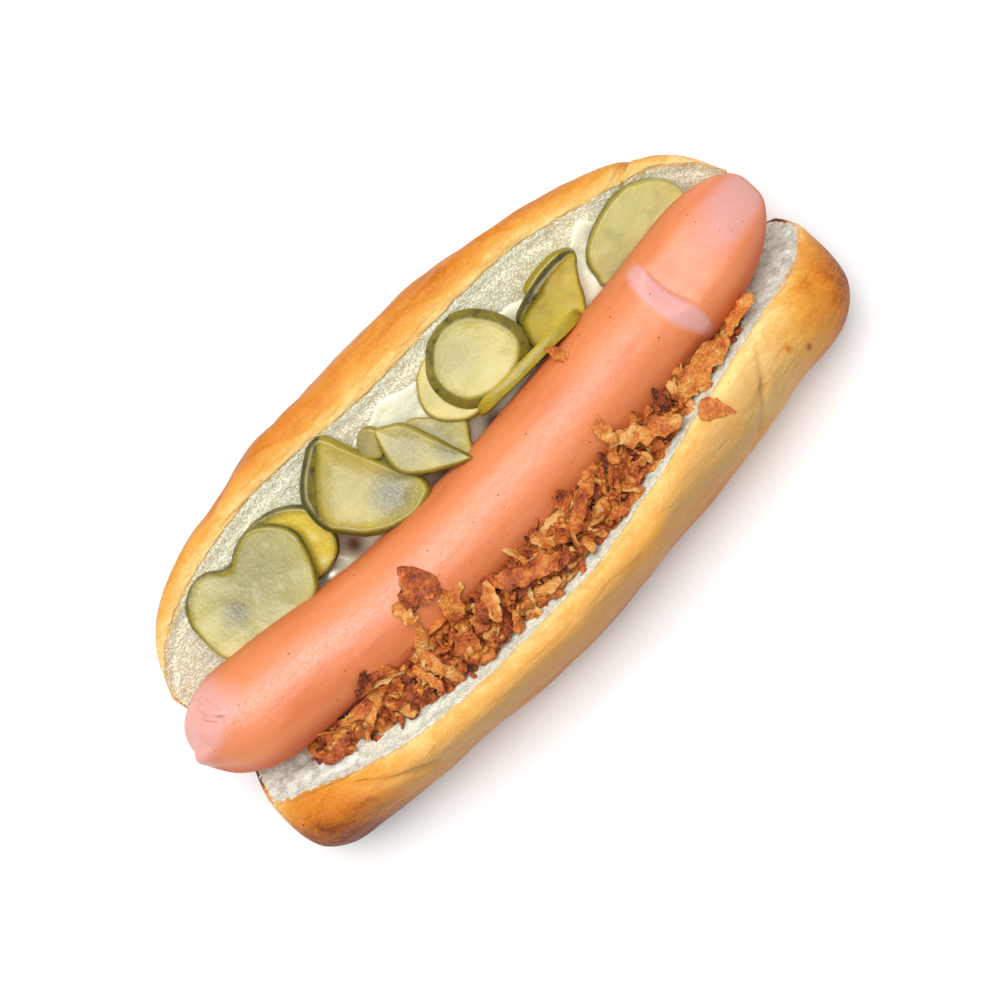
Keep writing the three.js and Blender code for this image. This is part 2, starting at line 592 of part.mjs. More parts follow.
function addNode(name, made, colour, roughness) {
  const mesh = made.getMesh();
  const geometry = new THREE.BufferGeometry();
  geometry.setAttribute("position", new THREE.BufferAttribute(mesh.vertProperties, 3));
  geometry.setIndex(new THREE.BufferAttribute(mesh.triVerts, 1));
  geometry.computeVertexNormals();
  const material = new THREE.MeshStandardMaterial({ color: colour, roughness, metalness: 0 });
  const node = new THREE.Mesh(geometry, material);
  node.name = name;
  hotDog.add(node);
}

const bunRoom = bunSolid(GAP);

let sausage = sausageSolid(0);
let sausageRoom = sausageSolid(GAP);
for (const flake of FLAKES_ON_SAUSAGE) {
  const [x, y, length, width, turn] = flake;
  sausage = sausage.add(looseFlake(flake, sausageTop));
  sausageRoom = sausageRoom.add(looseFlake([x, y, length + 2 * GAP, width + 2 * GAP, turn], sausageTop));
}
addNode("sausage", sausage, 0xe8854f, 0.4);

const crustTop = (x) => RIM_HEIGHT(x) + 1.6;
addNode("bun", bunSolid(0).add(looseFlake(FLAKE_ON_BUN, crustTop)), 0xe0a050, 0.6);

// Each slice keeps clear of the bun, the sausage and the slices that lie over it.
let room = bunRoom.add(sausageRoom);
for (const slice of SLICES) {
  addNode(slice.name, largest(sliceSolid(slice, 0).subtract(room)), 0xa8ad3c, 0.35);
  room = room.add(sliceSolid(slice, GAP));
}
addNode("dressing", largest(dressingSolid().subtract(room)), 0xf6efd0, 0.35);
addNode("fried_onions", largest(onionHeap().subtract(room)), 0xb4692c, 0.7);

export default hotDog;
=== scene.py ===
"""A hot dog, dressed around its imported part: a wheat bun opened like a book, a frankfurter, pickle slices on
dressing along one side and crisp fried onions along the other.

Lengths are millimetres until a mesh is made, which turns them into metres. +X runs along the bun, +Y towards
the pickles, +Z up, and the origin is on the surface that the bun rests on. Every shape is a function of two
parameters, worked out on a whole grid at once.
"""

from __future__ import annotations

import logging
import math
from dataclasses import dataclass, field
from enum import Enum
from typing import Callable, ClassVar, Sequence

import bpy
import numpy as np
from mathutils import Matrix, Vector

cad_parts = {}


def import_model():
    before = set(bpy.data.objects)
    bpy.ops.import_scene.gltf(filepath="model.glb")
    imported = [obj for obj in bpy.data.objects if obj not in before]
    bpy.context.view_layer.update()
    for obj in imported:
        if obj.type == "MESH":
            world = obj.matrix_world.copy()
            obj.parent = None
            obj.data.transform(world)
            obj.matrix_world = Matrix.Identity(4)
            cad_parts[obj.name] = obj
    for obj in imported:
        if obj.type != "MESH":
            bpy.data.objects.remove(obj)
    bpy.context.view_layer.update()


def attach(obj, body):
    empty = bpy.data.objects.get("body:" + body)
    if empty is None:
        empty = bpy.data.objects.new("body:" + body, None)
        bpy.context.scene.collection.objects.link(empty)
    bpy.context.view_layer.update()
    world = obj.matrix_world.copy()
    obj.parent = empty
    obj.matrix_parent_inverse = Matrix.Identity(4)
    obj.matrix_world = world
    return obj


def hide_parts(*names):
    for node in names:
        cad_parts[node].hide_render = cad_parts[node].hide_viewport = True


log = logging.getLogger("hot_dog")

MM = 0.001
BODY = "root"


# ---- numbers over space -----------------------------------------------------------------------------------


def ramp(low: float, high: float, value: np.ndarray) -> np.ndarray:
    """0 below low, 1 above high, and t * t * (3 - 2 * t) between."""
    t = np.clip((value - low) / (high - low), 0.0, 1.0)
    return t * t * (3.0 - 2.0 * t)


def mix(first: np.ndarray, second: np.ndarray, share: np.ndarray) -> np.ndarray:
    """The first value where share is 0, the second where it is 1."""
    return first + (second - first) * share


def bell(distance: np.ndarray, width: float) -> np.ndarray:
    """A bump of height 1 that fades over the width: exp(-(distance / width) ** 2)."""
    return np.exp(-np.square(distance / width))


def away(x: np.ndarray, y: np.ndarray, place: tuple[float, float], squash: float = 1.0) -> np.ndarray:
    """The distance of (x, y) from a place, with the part along Y times squash."""
    return np.hypot(x - place[0], (y - place[1]) * squash)


@dataclass(frozen=True)
class Curve:
    """A smooth curve through points of (x, value): cubic pieces whose slope at a point is that of its two
    neighbours, held level outside the ends."""

    points: tuple[tuple[float, float], ...]

    def __call__(self, x: np.ndarray | float) -> np.ndarray:
        """The curve's value at each x.

        Args:
            x: places along the curve.

        Returns:
            The values there, in the same shape as x.
        """
        xs, ys = np.array(self.points, float).T
        last = len(xs) - 1
        before = np.maximum(np.arange(last + 1) - 1, 0)
        after = np.minimum(np.arange(last + 1) + 1, last)
        slope = (ys[after] - ys[before]) / (xs[after] - xs[before])
        x = np.clip(x, xs[0], xs[-1])
        i = np.clip(np.searchsorted(xs, x, side="right") - 1, 0, last - 1)
        h = xs[i + 1] - xs[i]
        t = (x - xs[i]) / h
        s = 1.0 - t
        return (
            ys[i] * (1 + 2 * t) * s * s + slope[i] * h * t * s * s
            + ys[i + 1] * (1 + 2 * s) * t * t - slope[i + 1] * h * s * t * t
        )


class Unevenness:
    """Smooth random numbers from -1 to 1 over space, the same on every run."""

    LATTICE = 32

    def __init__(self, seed: int) -> None:
        """Draws a block of random numbers, one at each point of a lattice that repeats."""
        drawn = np.random.default_rng(seed)
        self.values = drawn.uniform(-1.0, 1.0, (self.LATTICE,) * 3)
        self.jitter = drawn.uniform(0.0, 1.0, (self.LATTICE,) * 3 + (3,))

    def at(self, points: np.ndarray, size: float) -> np.ndarray:
        """Each point's number: its eight lattice neighbours, weighted by smooth steps along X, Y and Z.

        Args:
            points: places in mm, with three numbers along the last axis.
            size: the distance in mm between lattice points.

        Returns:
            One number a point, from -1 to 1.
        """
        place = points / size
        corner = np.floor(place)
        t = place - corner
        t = t * t * (3.0 - 2.0 * t)
        low = corner.astype(int) % self.LATTICE
        high = (low + 1) % self.LATTICE
        total = np.zeros(points.shape[:-1])
        for pick in range(8):
            bits = [(pick >> axis) & 1 for axis in range(3)]
            index = tuple(np.where(bits[axis], high[..., axis], low[..., axis]) for axis in range(3))
            weight = np.ones(points.shape[:-1])
            for axis in range(3):
                weight = weight * (t[..., axis] if bits[axis] else 1.0 - t[..., axis])
            total += weight * self.values[index]
        return total

    def layered(self, points: np.ndarray, size: float, layers: int) -> np.ndarray:
        """Layers of at(), each half as large and half as strong as the one before.

        Args:
            points: places in mm.
            size: the size of the coarsest layer in mm.
            layers: how many there are.

        Returns:
            One number a point, from about -1 to 1.
        """
        total = np.zeros(points.shape[:-1])
        for layer in range(layers):
            offset = 17.3 * layer
            total += self.at(points + offset, size / 2**layer) / 2**layer
        return total / (2.0 - 2.0 ** (1 - layers))

    def pores(self, points: np.ndarray, size: float) -> np.ndarray:
        """The distance to the nearest of points strewn one to a cell, over the cell's size.

        Args:
            points: places in mm.
            size: a cell's side in mm.

        Returns:
            One distance a point: 0 in the middle of a pore, near 1 between pores.
        """
        place = points / size
        corner = np.floor(place).astype(int)
        nearest = np.full(points.shape[:-1], 9.0)
        for shift in np.ndindex(3, 3, 3):
            cell = corner + np.array(shift) - 1
            index = tuple(cell[..., axis] % self.LATTICE for axis in range(3))
            away = np.linalg.norm(cell + self.jitter[index] - place, axis=-1)
            nearest = np.minimum(nearest, away)
        return nearest


# ---- meshes -----------------------------------------------------------------------------------------------


def grid_quads(rows: int, columns: int, closed: bool, first: int = 0) -> np.ndarray:
    """The quads of a grid of points, numbered along its columns.

    Args:
        rows: rows of points.
        columns: points in a row.
        closed: whether the last column joins the first.
        first: the number of the first point.

    Returns:
        Four point numbers a quad, going round it the same way.
    """
    wide = columns if closed else columns - 1
    i, j = np.meshgrid(np.arange(rows - 1), np.arange(wide), indexing="ij")
    k = (j + 1) % columns
    quads = [i * columns + j, i * columns + k, (i + 1) * columns + k, (i + 1) * columns + j]
    return first + np.stack(quads, axis=-1).reshape(-1, 4)


def fan(ring: np.ndarray, pole: int) -> np.ndarray:
    """Triangles from each side of a closed ring of point numbers to its pole."""
    return np.stack([ring, np.roll(ring, -1), np.full(len(ring), pole)], axis=-1)


def tube_faces(rows: int, columns: int) -> tuple[np.ndarray, np.ndarray]:
    """The faces of a tube: a ring of points a row, with the poles of its first and last ring numbered next.

    Args:
        rows: how many rings.
        columns: points in a ring.

    Returns:
        The quads between rings and the triangles that close both ends.
    """
    count = rows * columns
    ring = np.arange(columns)
    first, last = fan(ring, count)[:, ::-1], fan(ring + count - columns, count + 1)
    return grid_quads(rows, columns, True), np.concatenate([first, last])


@dataclass
class Shell:
    """A closed mesh in mm: its points, its faces, and numbers on its points for its material."""

    points: np.ndarray
    quads: np.ndarray
    triangles: np.ndarray = field(default_factory=lambda: np.zeros((0, 3), int))
    marks: dict[str, np.ndarray] = field(default_factory=dict)

    def tidied(self) -> Shell:
        """The shell without the points that no face uses."""
        used = np.unique(np.concatenate([self.quads.ravel(), self.triangles.ravel()]))
        number = np.zeros(len(self.points), int)
        number[used] = np.arange(len(used))
        marks = {name: values[used] for name, values in self.marks.items()}
        return Shell(self.points[used], number[self.quads], number[self.triangles], marks)

    def volume(self) -> float:
        """The signed volume in cubic mm: positive where faces point outwards."""
        halves = [self.quads[:, [0, 1, 2]], self.quads[:, [0, 2, 3]], self.triangles]
        a, b, c = (self.points[np.concatenate(halves)[:, i]] for i in range(3))
        return float(np.einsum("ij,ij->i", a, np.cross(b, c)).sum() / 6.0)


def joined(shells: Sequence[Shell]) -> Shell:
    """Several shells with the same marks as one.

    Args:
        shells: the shells, in order.

    Returns:
        One shell with all their points and faces.
    """
    offsets = np.cumsum([0] + [len(s.points) for s in shells[:-1]])
    return Shell(
        np.concatenate([s.points for s in shells]),
        np.concatenate([s.quads + o for s, o in zip(shells, offsets)]),
        np.concatenate([s.triangles + o for s, o in zip(shells, offsets)]),
        {name: np.concatenate([s.marks[name] for s in shells]) for name in shells[0].marks},
    )


def make_piece(name: str, shell: Shell, nodes: Sequence[str],
               material: bpy.types.Material) -> None:
    """Makes a smooth-shaded object of a shell and sets it in the frame.

    Args:
        name: the object's name.
        shell: the mesh, in mm.
        nodes: the frame's nodes that the object stands for.
        material: its material.
    """
    shell = shell.tidied()
    if shell.volume() < 0:
        shell.quads = shell.quads[:, ::-1]
        shell.triangles = shell.triangles[:, ::-1]
    mesh = bpy.data.meshes.new(name)
    corners = np.concatenate([shell.quads.ravel(), shell.triangles.ravel()])
    sizes = np.concatenate([np.full(len(shell.quads), 4), np.full(len(shell.triangles), 3)])
    mesh.vertices.add(len(shell.points))
    mesh.vertices.foreach_set("co", (shell.points * MM).astype(np.float32).ravel())
    mesh.loops.add(len(corners))
    mesh.loops.foreach_set("vertex_index", corners.astype(np.int32))
    mesh.polygons.add(len(sizes))
    mesh.polygons.foreach_set("loop_start", (np.cumsum(sizes) - sizes).astype(np.int32))
    mesh.polygons.foreach_set("use_smooth", np.ones(len(sizes), bool))
    for mark, values in shell.marks.items():
        attribute = mesh.attributes.new(mark, "FLOAT", "POINT")
        attribute.data.foreach_set("value", values.astype(np.float32))
    mesh.update(calc_edges=True)
    mesh.validate()
    mesh.materials.append(material)
    made = bpy.data.objects.new(name, mesh)
    bpy.context.scene.collection.objects.link(made)
    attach(made, BODY)
    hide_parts(*nodes)
    log.info("%s: %d faces, %.1f cm3", name, len(sizes), abs(shell.volume()) / 1000)


# ---- shader building blocks -------------------------------------------------------------------------------

Socket = bpy.types.NodeSocket
Colour = tuple[float, float, float, float]


def paint(red: int, green: int, blue: int) -> Colour:
    """A screen colour of 0 to 255 a channel as the linear colour that shaders use."""
    channels = [v / 255.0 for v in (red, green, blue)]
    linear = [v / 12.92 if v <= 0.04045 else ((v + 0.055) / 1.055) ** 2.4 for v in channels]
    return (linear[0], linear[1], linear[2], 1.0)


class Wiring:
    """Adds shader nodes to one tree and links them."""

    def __init__(self, tree: bpy.types.NodeTree) -> None:
        """Keeps the tree that the nodes go into."""
        self.tree = tree

    def node(self, kind: str, **settings: object) -> bpy.types.Node:
        """A new node of that kind, with its settings applied."""
        made = self.tree.nodes.new(kind)
        for name, value in settings.items():
            setattr(made, name, value)
        return made

    def feed(self, socket: Socket, value: object) -> None:
        """Links a socket to another, or sets it where the value is plain."""
        if isinstance(value, bpy.types.NodeSocket):
            self.tree.links.new(value, socket)
        else:
            socket.default_value = value

    def fill(self, node: bpy.types.Node, **values: object) -> None:
        """Feeds a node's named inputs (an underscore stands for a space)."""
        for name, value in values.items():
            self.feed(node.inputs[name.replace("_", " ")], value)

    def maths(self, operation: str, a: object, b: object = 0.0) -> Socket:
        """The result of a Math node, such as DIVIDE or LESS_THAN."""
        made = self.node("ShaderNodeMath", operation=operation)
        self.feed(made.inputs[0], a)
        self.feed(made.inputs[1], b)
        return made.outputs[0]

    def plus(self, first: object, *others: object) -> object:
        """The sum of several values."""
        for other in others:
            first = self.maths("ADD", first, other)
        return first

    def times(self, a: object, b: object) -> Socket:
        """The product of two values."""
        return self.maths("MULTIPLY", a, b)

    def swing(self, noise: Socket, strength: float) -> Socket:
        """Noise from 0 to 1 as a swing about zero: (noise - 0.5) * strength."""
        return self.times(self.maths("SUBTRACT", noise, 0.5), strength)

    def veins(self, noise: Socket) -> Socket:
        """How far noise is from its middle, |noise - 0.5|, which is 0 along winding lines."""
        return self.maths("ABSOLUTE", self.maths("SUBTRACT", noise, 0.5))

    def blend(self, share: object, first: object, second: object) -> Socket:
        """The first colour where share is 0, the second where it is 1."""
        made = self.node("ShaderNodeMix", data_type="RGBA")
        for index, value in ((0, share), (6, first), (7, second)):
            self.feed(made.inputs[index], value)
        return made.outputs[2]

    def span(self, value: object, low: float, high: float, out_low: float = 0.0,
             out_high: float = 1.0) -> Socket:
        """A value's smooth step from out_low at low to out_high at high.

        Args:
            value: what is mapped.
            low: where the step starts.
            high: where it ends.
            out_low: the result up to low.
            out_high: the result from high on.

        Returns:
            The stepped value.
        """
        made = self.node("ShaderNodeMapRange", interpolation_type="SMOOTHSTEP")
        for index, number in enumerate((value, low, high, out_low, out_high)):
            self.feed(made.inputs[index], number)
        return made.outputs[0]

    def place(self, stretch: tuple[float, float, float] = (1.0, 1.0, 1.0)) -> Socket:
        """Object coordinates in millimetres, with each axis over its stretch."""
        where = self.node("ShaderNodeTexCoord").outputs["Object"]
        mapping = self.node("ShaderNodeMapping")
        self.fill(mapping, Vector=where, Scale=tuple(1.0 / MM / s for s in stretch))
        return mapping.outputs[0]

    def cloud(self, where: Socket, size: float, detail: float = 3.0, rough: float = 0.55) -> Socket:
        """Soft noise whose blobs are about size mm apart, from 0 to 1 around 0.5."""
        made = self.node("ShaderNodeTexNoise")
        self.fill(made, Vector=where, Scale=1.0 / size, Detail=detail, Roughness=rough)
        return made.outputs[0]

    def cells(self, where: Socket, size: float) -> Socket:
        """The distance to the nearest of points strewn size mm apart, over size."""
        made = self.node("ShaderNodeTexVoronoi")
        self.fill(made, Vector=where, Scale=1.0 / size)
        return made.outputs["Distance"]

    def mark(self, name: str) -> Socket:
        """A number that the mesh carries on its points."""
        return self.node("ShaderNodeAttribute", attribute_name=name).outputs["Fac"]

    def steps(self, value: object, stops: Sequence[tuple[float, Colour]]) -> Socket:
        """A colour ramp.

        Args:
            value: where to read the ramp, from 0 to 1.
            stops: each stop's place and colour, in order.

        Returns:
            The ramp's colour.
        """
        made = self.node("ShaderNodeValToRGB")
        elements = made.color_ramp.elements
        elements[0].position, elements[0].color = stops[0]
        elements[1].position, elements[1].color = stops[-1]
        for place, colour in stops[1:-1]:
            elements.new(place).color = colour
        self.feed(made.inputs[0], value)
        return made.outputs[0]

    def bump(self, height: object, depth: float) -> Socket:
        """The normal of a relief that is depth mm deep from height 0 to 1."""
        made = self.node("ShaderNodeBump")
        self.fill(made, Strength=1.0, Distance=depth * MM, Height=height)
        return made.outputs[0]

    def group(self, tree: bpy.types.NodeTree, **values: object) -> Socket:
        """The result of a node group placed in the tree, with its named inputs fed."""
        made = self.node("ShaderNodeGroup", node_tree=tree)
        self.fill(made, **values)
        return made.outputs[0]


NUMBER, COLOUR, VECTOR = "NodeSocketFloat", "NodeSocketColor", "NodeSocketVector"


def new_group(name: str, inputs: dict[str, str], output: str,
              kind: str) -> tuple[bpy.types.NodeTree, Wiring, bpy.types.Node, Socket]:
    """A new shader node group with one result.

    Args:
        name: the group's name.
        inputs: each input socket's type by its name.
        output: the result's name.
        kind: the result's type.

    Returns:
        The tree, its Wiring, its input node and the socket that the result is fed to.
    """
    tree = bpy.data.node_groups.new(name, "ShaderNodeTree")
    for label, socket_type in inputs.items():
        tree.interface.new_socket(label, in_out="INPUT", socket_type=socket_type)
    tree.interface.new_socket(output, in_out="OUTPUT", socket_type=kind)
    wiring = Wiring(tree)
    given = wiring.node("NodeGroupInput")
    return tree, wiring, given, wiring.node("NodeGroupOutput").inputs[output]


def speck_group() -> bpy.types.NodeTree:
    """Small specks strewn over a surface: a mask that is 1 within Radius of a random few of the points that
    are strewn Spacing mm apart. Share is how many of them show."""
    inputs = {"Vector": VECTOR, "Spacing": NUMBER, "Radius": NUMBER, "Share": NUMBER}
    tree, w, given, mask = new_group("strewn specks", inputs, "Mask", NUMBER)
    where, spacing, radius, share = (given.outputs[name] for name in inputs)
    cell = w.node("ShaderNodeTexVoronoi")
    w.fill(cell, Vector=where, Scale=w.maths("DIVIDE", 1.0, spacing))
    split = w.node("ShaderNodeSeparateColor")
    w.feed(split.inputs[0], cell.outputs["Color"])
    own_radius = w.times(radius, w.span(split.outputs[1], 0.0, 1.0, 0.5, 1.2))
    near = w.maths("LESS_THAN", w.times(cell.outputs["Distance"], spacing), own_radius)
    w.feed(mask, w.times(near, w.maths("LESS_THAN", split.outputs[0], share)))
    return tree


def mottle_group() -> bpy.types.NodeTree:
    """An uneven tint: the colour moved towards Light and Dark in clouds that are Size mm apart."""
    inputs = {
        "Vector": VECTOR, "Colour": COLOUR, "Light": COLOUR, "Dark": COLOUR, "Size": NUMBER,
        "Strength": NUMBER,
    }
    tree, w, given, result = new_group("uneven tint", inputs, "Colour", COLOUR)
    where, colour, light, dark, size, strength = (given.outputs[name] for name in inputs)
    noise = w.node("ShaderNodeTexNoise")
    w.fill(noise, Vector=where, Scale=w.maths("DIVIDE", 1.0, size), Detail=4.0)
    lit = w.times(w.span(noise.outputs[0], 0.5, 0.75), strength)
    dim = w.times(w.span(noise.outputs[0], 0.5, 0.28), strength)
    w.feed(result, w.blend(dim, w.blend(lit, colour, light), dark))
    return tree


class Finishes:
    """The node groups that several materials share, made once."""

    def __init__(self) -> None:
        """Builds the groups."""
        self.specks = speck_group()
        self.mottle = mottle_group()


def new_material(name: str) -> tuple[bpy.types.Material, Wiring, bpy.types.Node]:
    """A new material.

    Args:
        name: its name.

    Returns:
        The material, the Wiring of its tree and its Principled BSDF.
    """
    material = bpy.data.materials.new(name)
    material.use_nodes = True
    surface = next(n for n in material.node_tree.nodes if n.type == "BSDF_PRINCIPLED")
    return material, Wiring(material.node_tree), surface


# ---- finishes ---------------------------------------------------------------------------------------------


class Finish:
    """The looks of one material; each kind says how its nodes are wired."""

    NAME: ClassVar[str]

    def material(self, shared: Finishes) -> bpy.types.Material:
        """The finish as a material.

        Args:
            shared: the shared node groups.

        Returns:
            The material.
        """
        material, w, surface = new_material(self.NAME)
        self.wire(w, surface, shared)
        return material

    def wire(self, w: Wiring, surface: bpy.types.Node, shared: Finishes) -> None:
        """Wires the material's nodes.

        Args:
            w: the Wiring of its tree.
            surface: its Principled BSDF.
            shared: the shared node groups.
        """
        raise NotImplementedError


@dataclass(frozen=True)
class BreadFinish(Finish):
    """Baked crust outside, torn white crumb inside, told apart by the mesh's distance from the rim."""

    NAME: ClassVar[str] = "bread"
    crumb: Colour = paint(255, 252, 226)
    crumb_pit: Colour = paint(190, 178, 118)
    crumb_cool: Colour = paint(230, 233, 224)
    crumb_shade: Colour = paint(136, 138, 110)
    crumb_light: Colour = paint(255, 254, 240)
    pale_crust: Colour = paint(236, 204, 136)
    gold_crust: Colour = paint(214, 152, 62)
    amber_crust: Colour = paint(196, 114, 28)
    brown_crust: Colour = paint(122, 52, 8)
    dark_crust: Colour = paint(72, 30, 8)
    matt_crust: Colour = paint(182, 146, 92)
    roughness: float = 0.5
    crumb_roughness: float = 0.9
    shine: float = 0.15
    patchiness: float = 0.38
    graininess: float = 0.35
    dimple: float = 0.46
    tear: float = 2.6
    relief: float = 0.2

    def wire(self, w: Wiring, surface: bpy.types.Node, shared: Finishes) -> None:
        """Crust or crumb by the mark from_rim, whose boundary is torn by noise."""
        where = w.place()
        grain = w.cloud(where, 0.8, 4.0)
        veins = w.veins(w.cloud(w.place((4.0, 1.0, 1.0)), 5.0, 2.0))
        open_cells = w.span(w.cells(where, 1.0), 0.1, 0.4, 0.4, 1.0)
        bubbles = w.times(w.span(w.cloud(where, 0.6, 3.0, 0.6), 0.38, 0.56), open_cells)
        crust = self.crust(w, shared, where, grain, veins)
        crumb = self.soft(w, shared, where, bubbles)
        torn = w.swing(w.cloud(where, 1.1, 4.0, 0.6), self.tear)
        inside = w.span(w.plus(w.mark("from_rim"), torn), -0.15, 0.15)
        rough_crust = w.plus(w.times(w.span(veins, 0.0, 0.1), 0.8), w.times(grain, 0.8))
        rough_crumb = w.plus(w.times(bubbles, 0.7), w.times(w.cloud(where, 0.4, 4.0), 0.8))
        outside = w.times(rough_crust, w.maths("SUBTRACT", 1.0, inside))
        uneven = w.plus(w.times(rough_crumb, inside), outside)
        w.fill(
            surface, Base_Color=w.blend(inside, crust, crumb),
            Roughness=w.span(w.mark("from_rim"), -0.3, 0.3, self.roughness, self.crumb_roughness),
            Specular_IOR_Level=self.shine, Subsurface_Weight=0.15, Subsurface_Radius=(1.0, 0.7, 0.4),
            Subsurface_Scale=1.0 * MM, Normal=w.bump(uneven, self.relief),
        )

    def crust(self, w: Wiring, shared: Finishes, where: Socket, grain: Socket, veins: Socket) -> Socket:
        """The crust's colour: browner with the mark bake (which paints shade underneath and in creases), a
        muted tan with the mark matt, a little darker along its wrinkles as painted shade, specked and pricked.

        Args:
            w: the Wiring of the material's tree.
            shared: the shared node groups.
            where: places in mm.
            grain: the crust's fine noise.
            veins: noise that is 0 along the crust's wrinkles.

        Returns:
            The colour.
        """
        patchy = w.swing(w.cloud(w.place((1.6, 1.0, 1.0)), 4.5, 5.0), self.patchiness)
        # Painted shade: the crust is a little darker along its wrinkles.
        wrinkled = w.span(veins, 0.0, 0.06, 0.05, 0.0)
        crust = w.steps(w.plus(w.mark("bake"), patchy, w.swing(grain, self.graininess), wrinkled), [
            (0.0, self.pale_crust), (0.3, self.gold_crust), (0.58, self.amber_crust),
            (0.82, self.brown_crust), (1.0, self.dark_crust),
        ])
        # A muted tan over part of the onions' half of the crust.
        crust = w.blend(w.times(w.mark("matt"), 0.75), crust, self.matt_crust)
        crust = w.blend(w.span(grain, 0.58, 0.72, 0.0, 0.3), crust, self.pale_crust)
        burnt = w.group(shared.specks, Vector=where, Spacing=6.5, Radius=0.42, Share=0.16)
        crust = w.blend(w.times(burnt, 0.75), crust, self.dark_crust)
        holes = w.group(shared.specks, Vector=where, Spacing=2.3, Radius=0.17, Share=0.4)
        return w.blend(w.times(holes, 0.5), crust, self.brown_crust)

    def soft(self, w: Wiring, shared: Finishes, where: Socket, bubbles: Socket) -> Socket:
        """The crumb's colour: darker in its bubbles, greyer and cooler with the mark hollow, and shaded in
        dimples there, all as painted shade.

        Args:
            w: the Wiring of the material's tree.
            shared: the shared node groups.
            where: places in mm.
            bubbles: 0 inside the crumb's bubbles and 1 between them.

        Returns:
            The colour.
        """
        soft = w.group(
            shared.mottle, Vector=where, Colour=self.crumb, Light=self.crumb_light, Dark=self.crumb_pit,
            Size=2.4, Strength=0.35,
        )
        # Painted shade: the crumb is darker in its bubbles.
        soft = w.blend(w.span(bubbles, 0.0, 1.0, 0.5, 0.0), soft, self.crumb_pit)
        # Painted shade: a cool grey over the onions' half and in pores.
        soft = w.blend(w.mark("hollow"), soft, self.crumb_cool)
        # Painted shade: dimples shaded in over the same places.
        dimples = w.span(w.cloud(where, 2.6, 4.0, 0.65), 0.38, 0.56, self.dimple, 0.0)
        return w.blend(w.times(dimples, w.mark("hollow")), soft, self.crumb_shade)


@dataclass(frozen=True)
class SausageFinish(Finish):
    """A smoked skin, wet with fat: orange, pinker where the flesh shows and where a highlight is painted, with
    painted shade down its sides and fine wrinkles along it.
    """

    NAME: ClassVar[str] = "sausage skin"
    skin: Colour = paint(216, 124, 70)
    skin_light: Colour = paint(222, 139, 94)
    skin_dark: Colour = paint(202, 102, 48)
    skin_deep: Colour = paint(204, 84, 26)
    meat: Colour = paint(214, 154, 148)
    speck: Colour = paint(116, 44, 18)
    roughness: float = 0.42
    relief: float = 0.13

    def wire(self, w: Wiring, surface: bpy.types.Node, shared: Finishes) -> None:
        """The skin, tinted by the marks flank (painted shade down its sides), bloom and pink (painted pink
        highlights, and flesh at the step) and torn (tears, and painted shade in its creases), with streaks and
        wrinkles along it.
        """
        along = w.place((3.2, 1.0, 1.0))
        colour = w.group(
            shared.mottle, Vector=along, Colour=self.skin, Light=self.skin_light, Dark=self.skin_dark,
            Size=9.0, Strength=0.6,
        )
        # Painted shade: the skin turns a deeper orange down its sides.
        colour = w.blend(w.mark("flank"), colour, self.skin_deep)
        # Painted highlight: a pebbly pink along the top of the skin.
        pebbly = w.span(w.cloud(w.place((1.6, 1.0, 1.0)), 0.6, 4.0, 0.65), 0.38, 0.6)
        colour = w.blend(w.times(w.mark("bloom"), pebbly), colour, self.meat)
        # Pink flesh at the step, and painted pink highlights on the right flat and the left end.
        colour = w.blend(w.mark("pink"), colour, self.meat)
        dots = w.group(shared.specks, Vector=w.place(), Spacing=2.7, Radius=0.22, Share=0.75)
        colour = w.blend(w.times(dots, 0.8), colour, self.speck)
        streaks = w.cloud(along, 1.3, 5.0, 0.65)
        sheen = w.span(streaks, 0.3, 0.75, self.roughness - 0.06, self.roughness + 0.12)
        pebbles = w.plus(w.cloud(w.place((1.8, 1.0, 1.0)), 0.45, 4.0, 0.7), w.times(streaks, 0.25))
        # The dark of torn marks tears, and painted shade along the fold's groove and the step's crease.
        w.fill(
            surface, Base_Color=w.blend(w.mark("torn"), colour, self.speck),
            Roughness=w.plus(sheen, w.times(w.mark("flank"), 0.4)), Specular_IOR_Level=0.8,
            Subsurface_Weight=0.15, Subsurface_Radius=(1.0, 0.35, 0.2), Subsurface_Scale=1.2 * MM,
            Coat_Weight=0.1, Coat_Roughness=0.4, Normal=w.bump(pebbles, self.relief),
        )


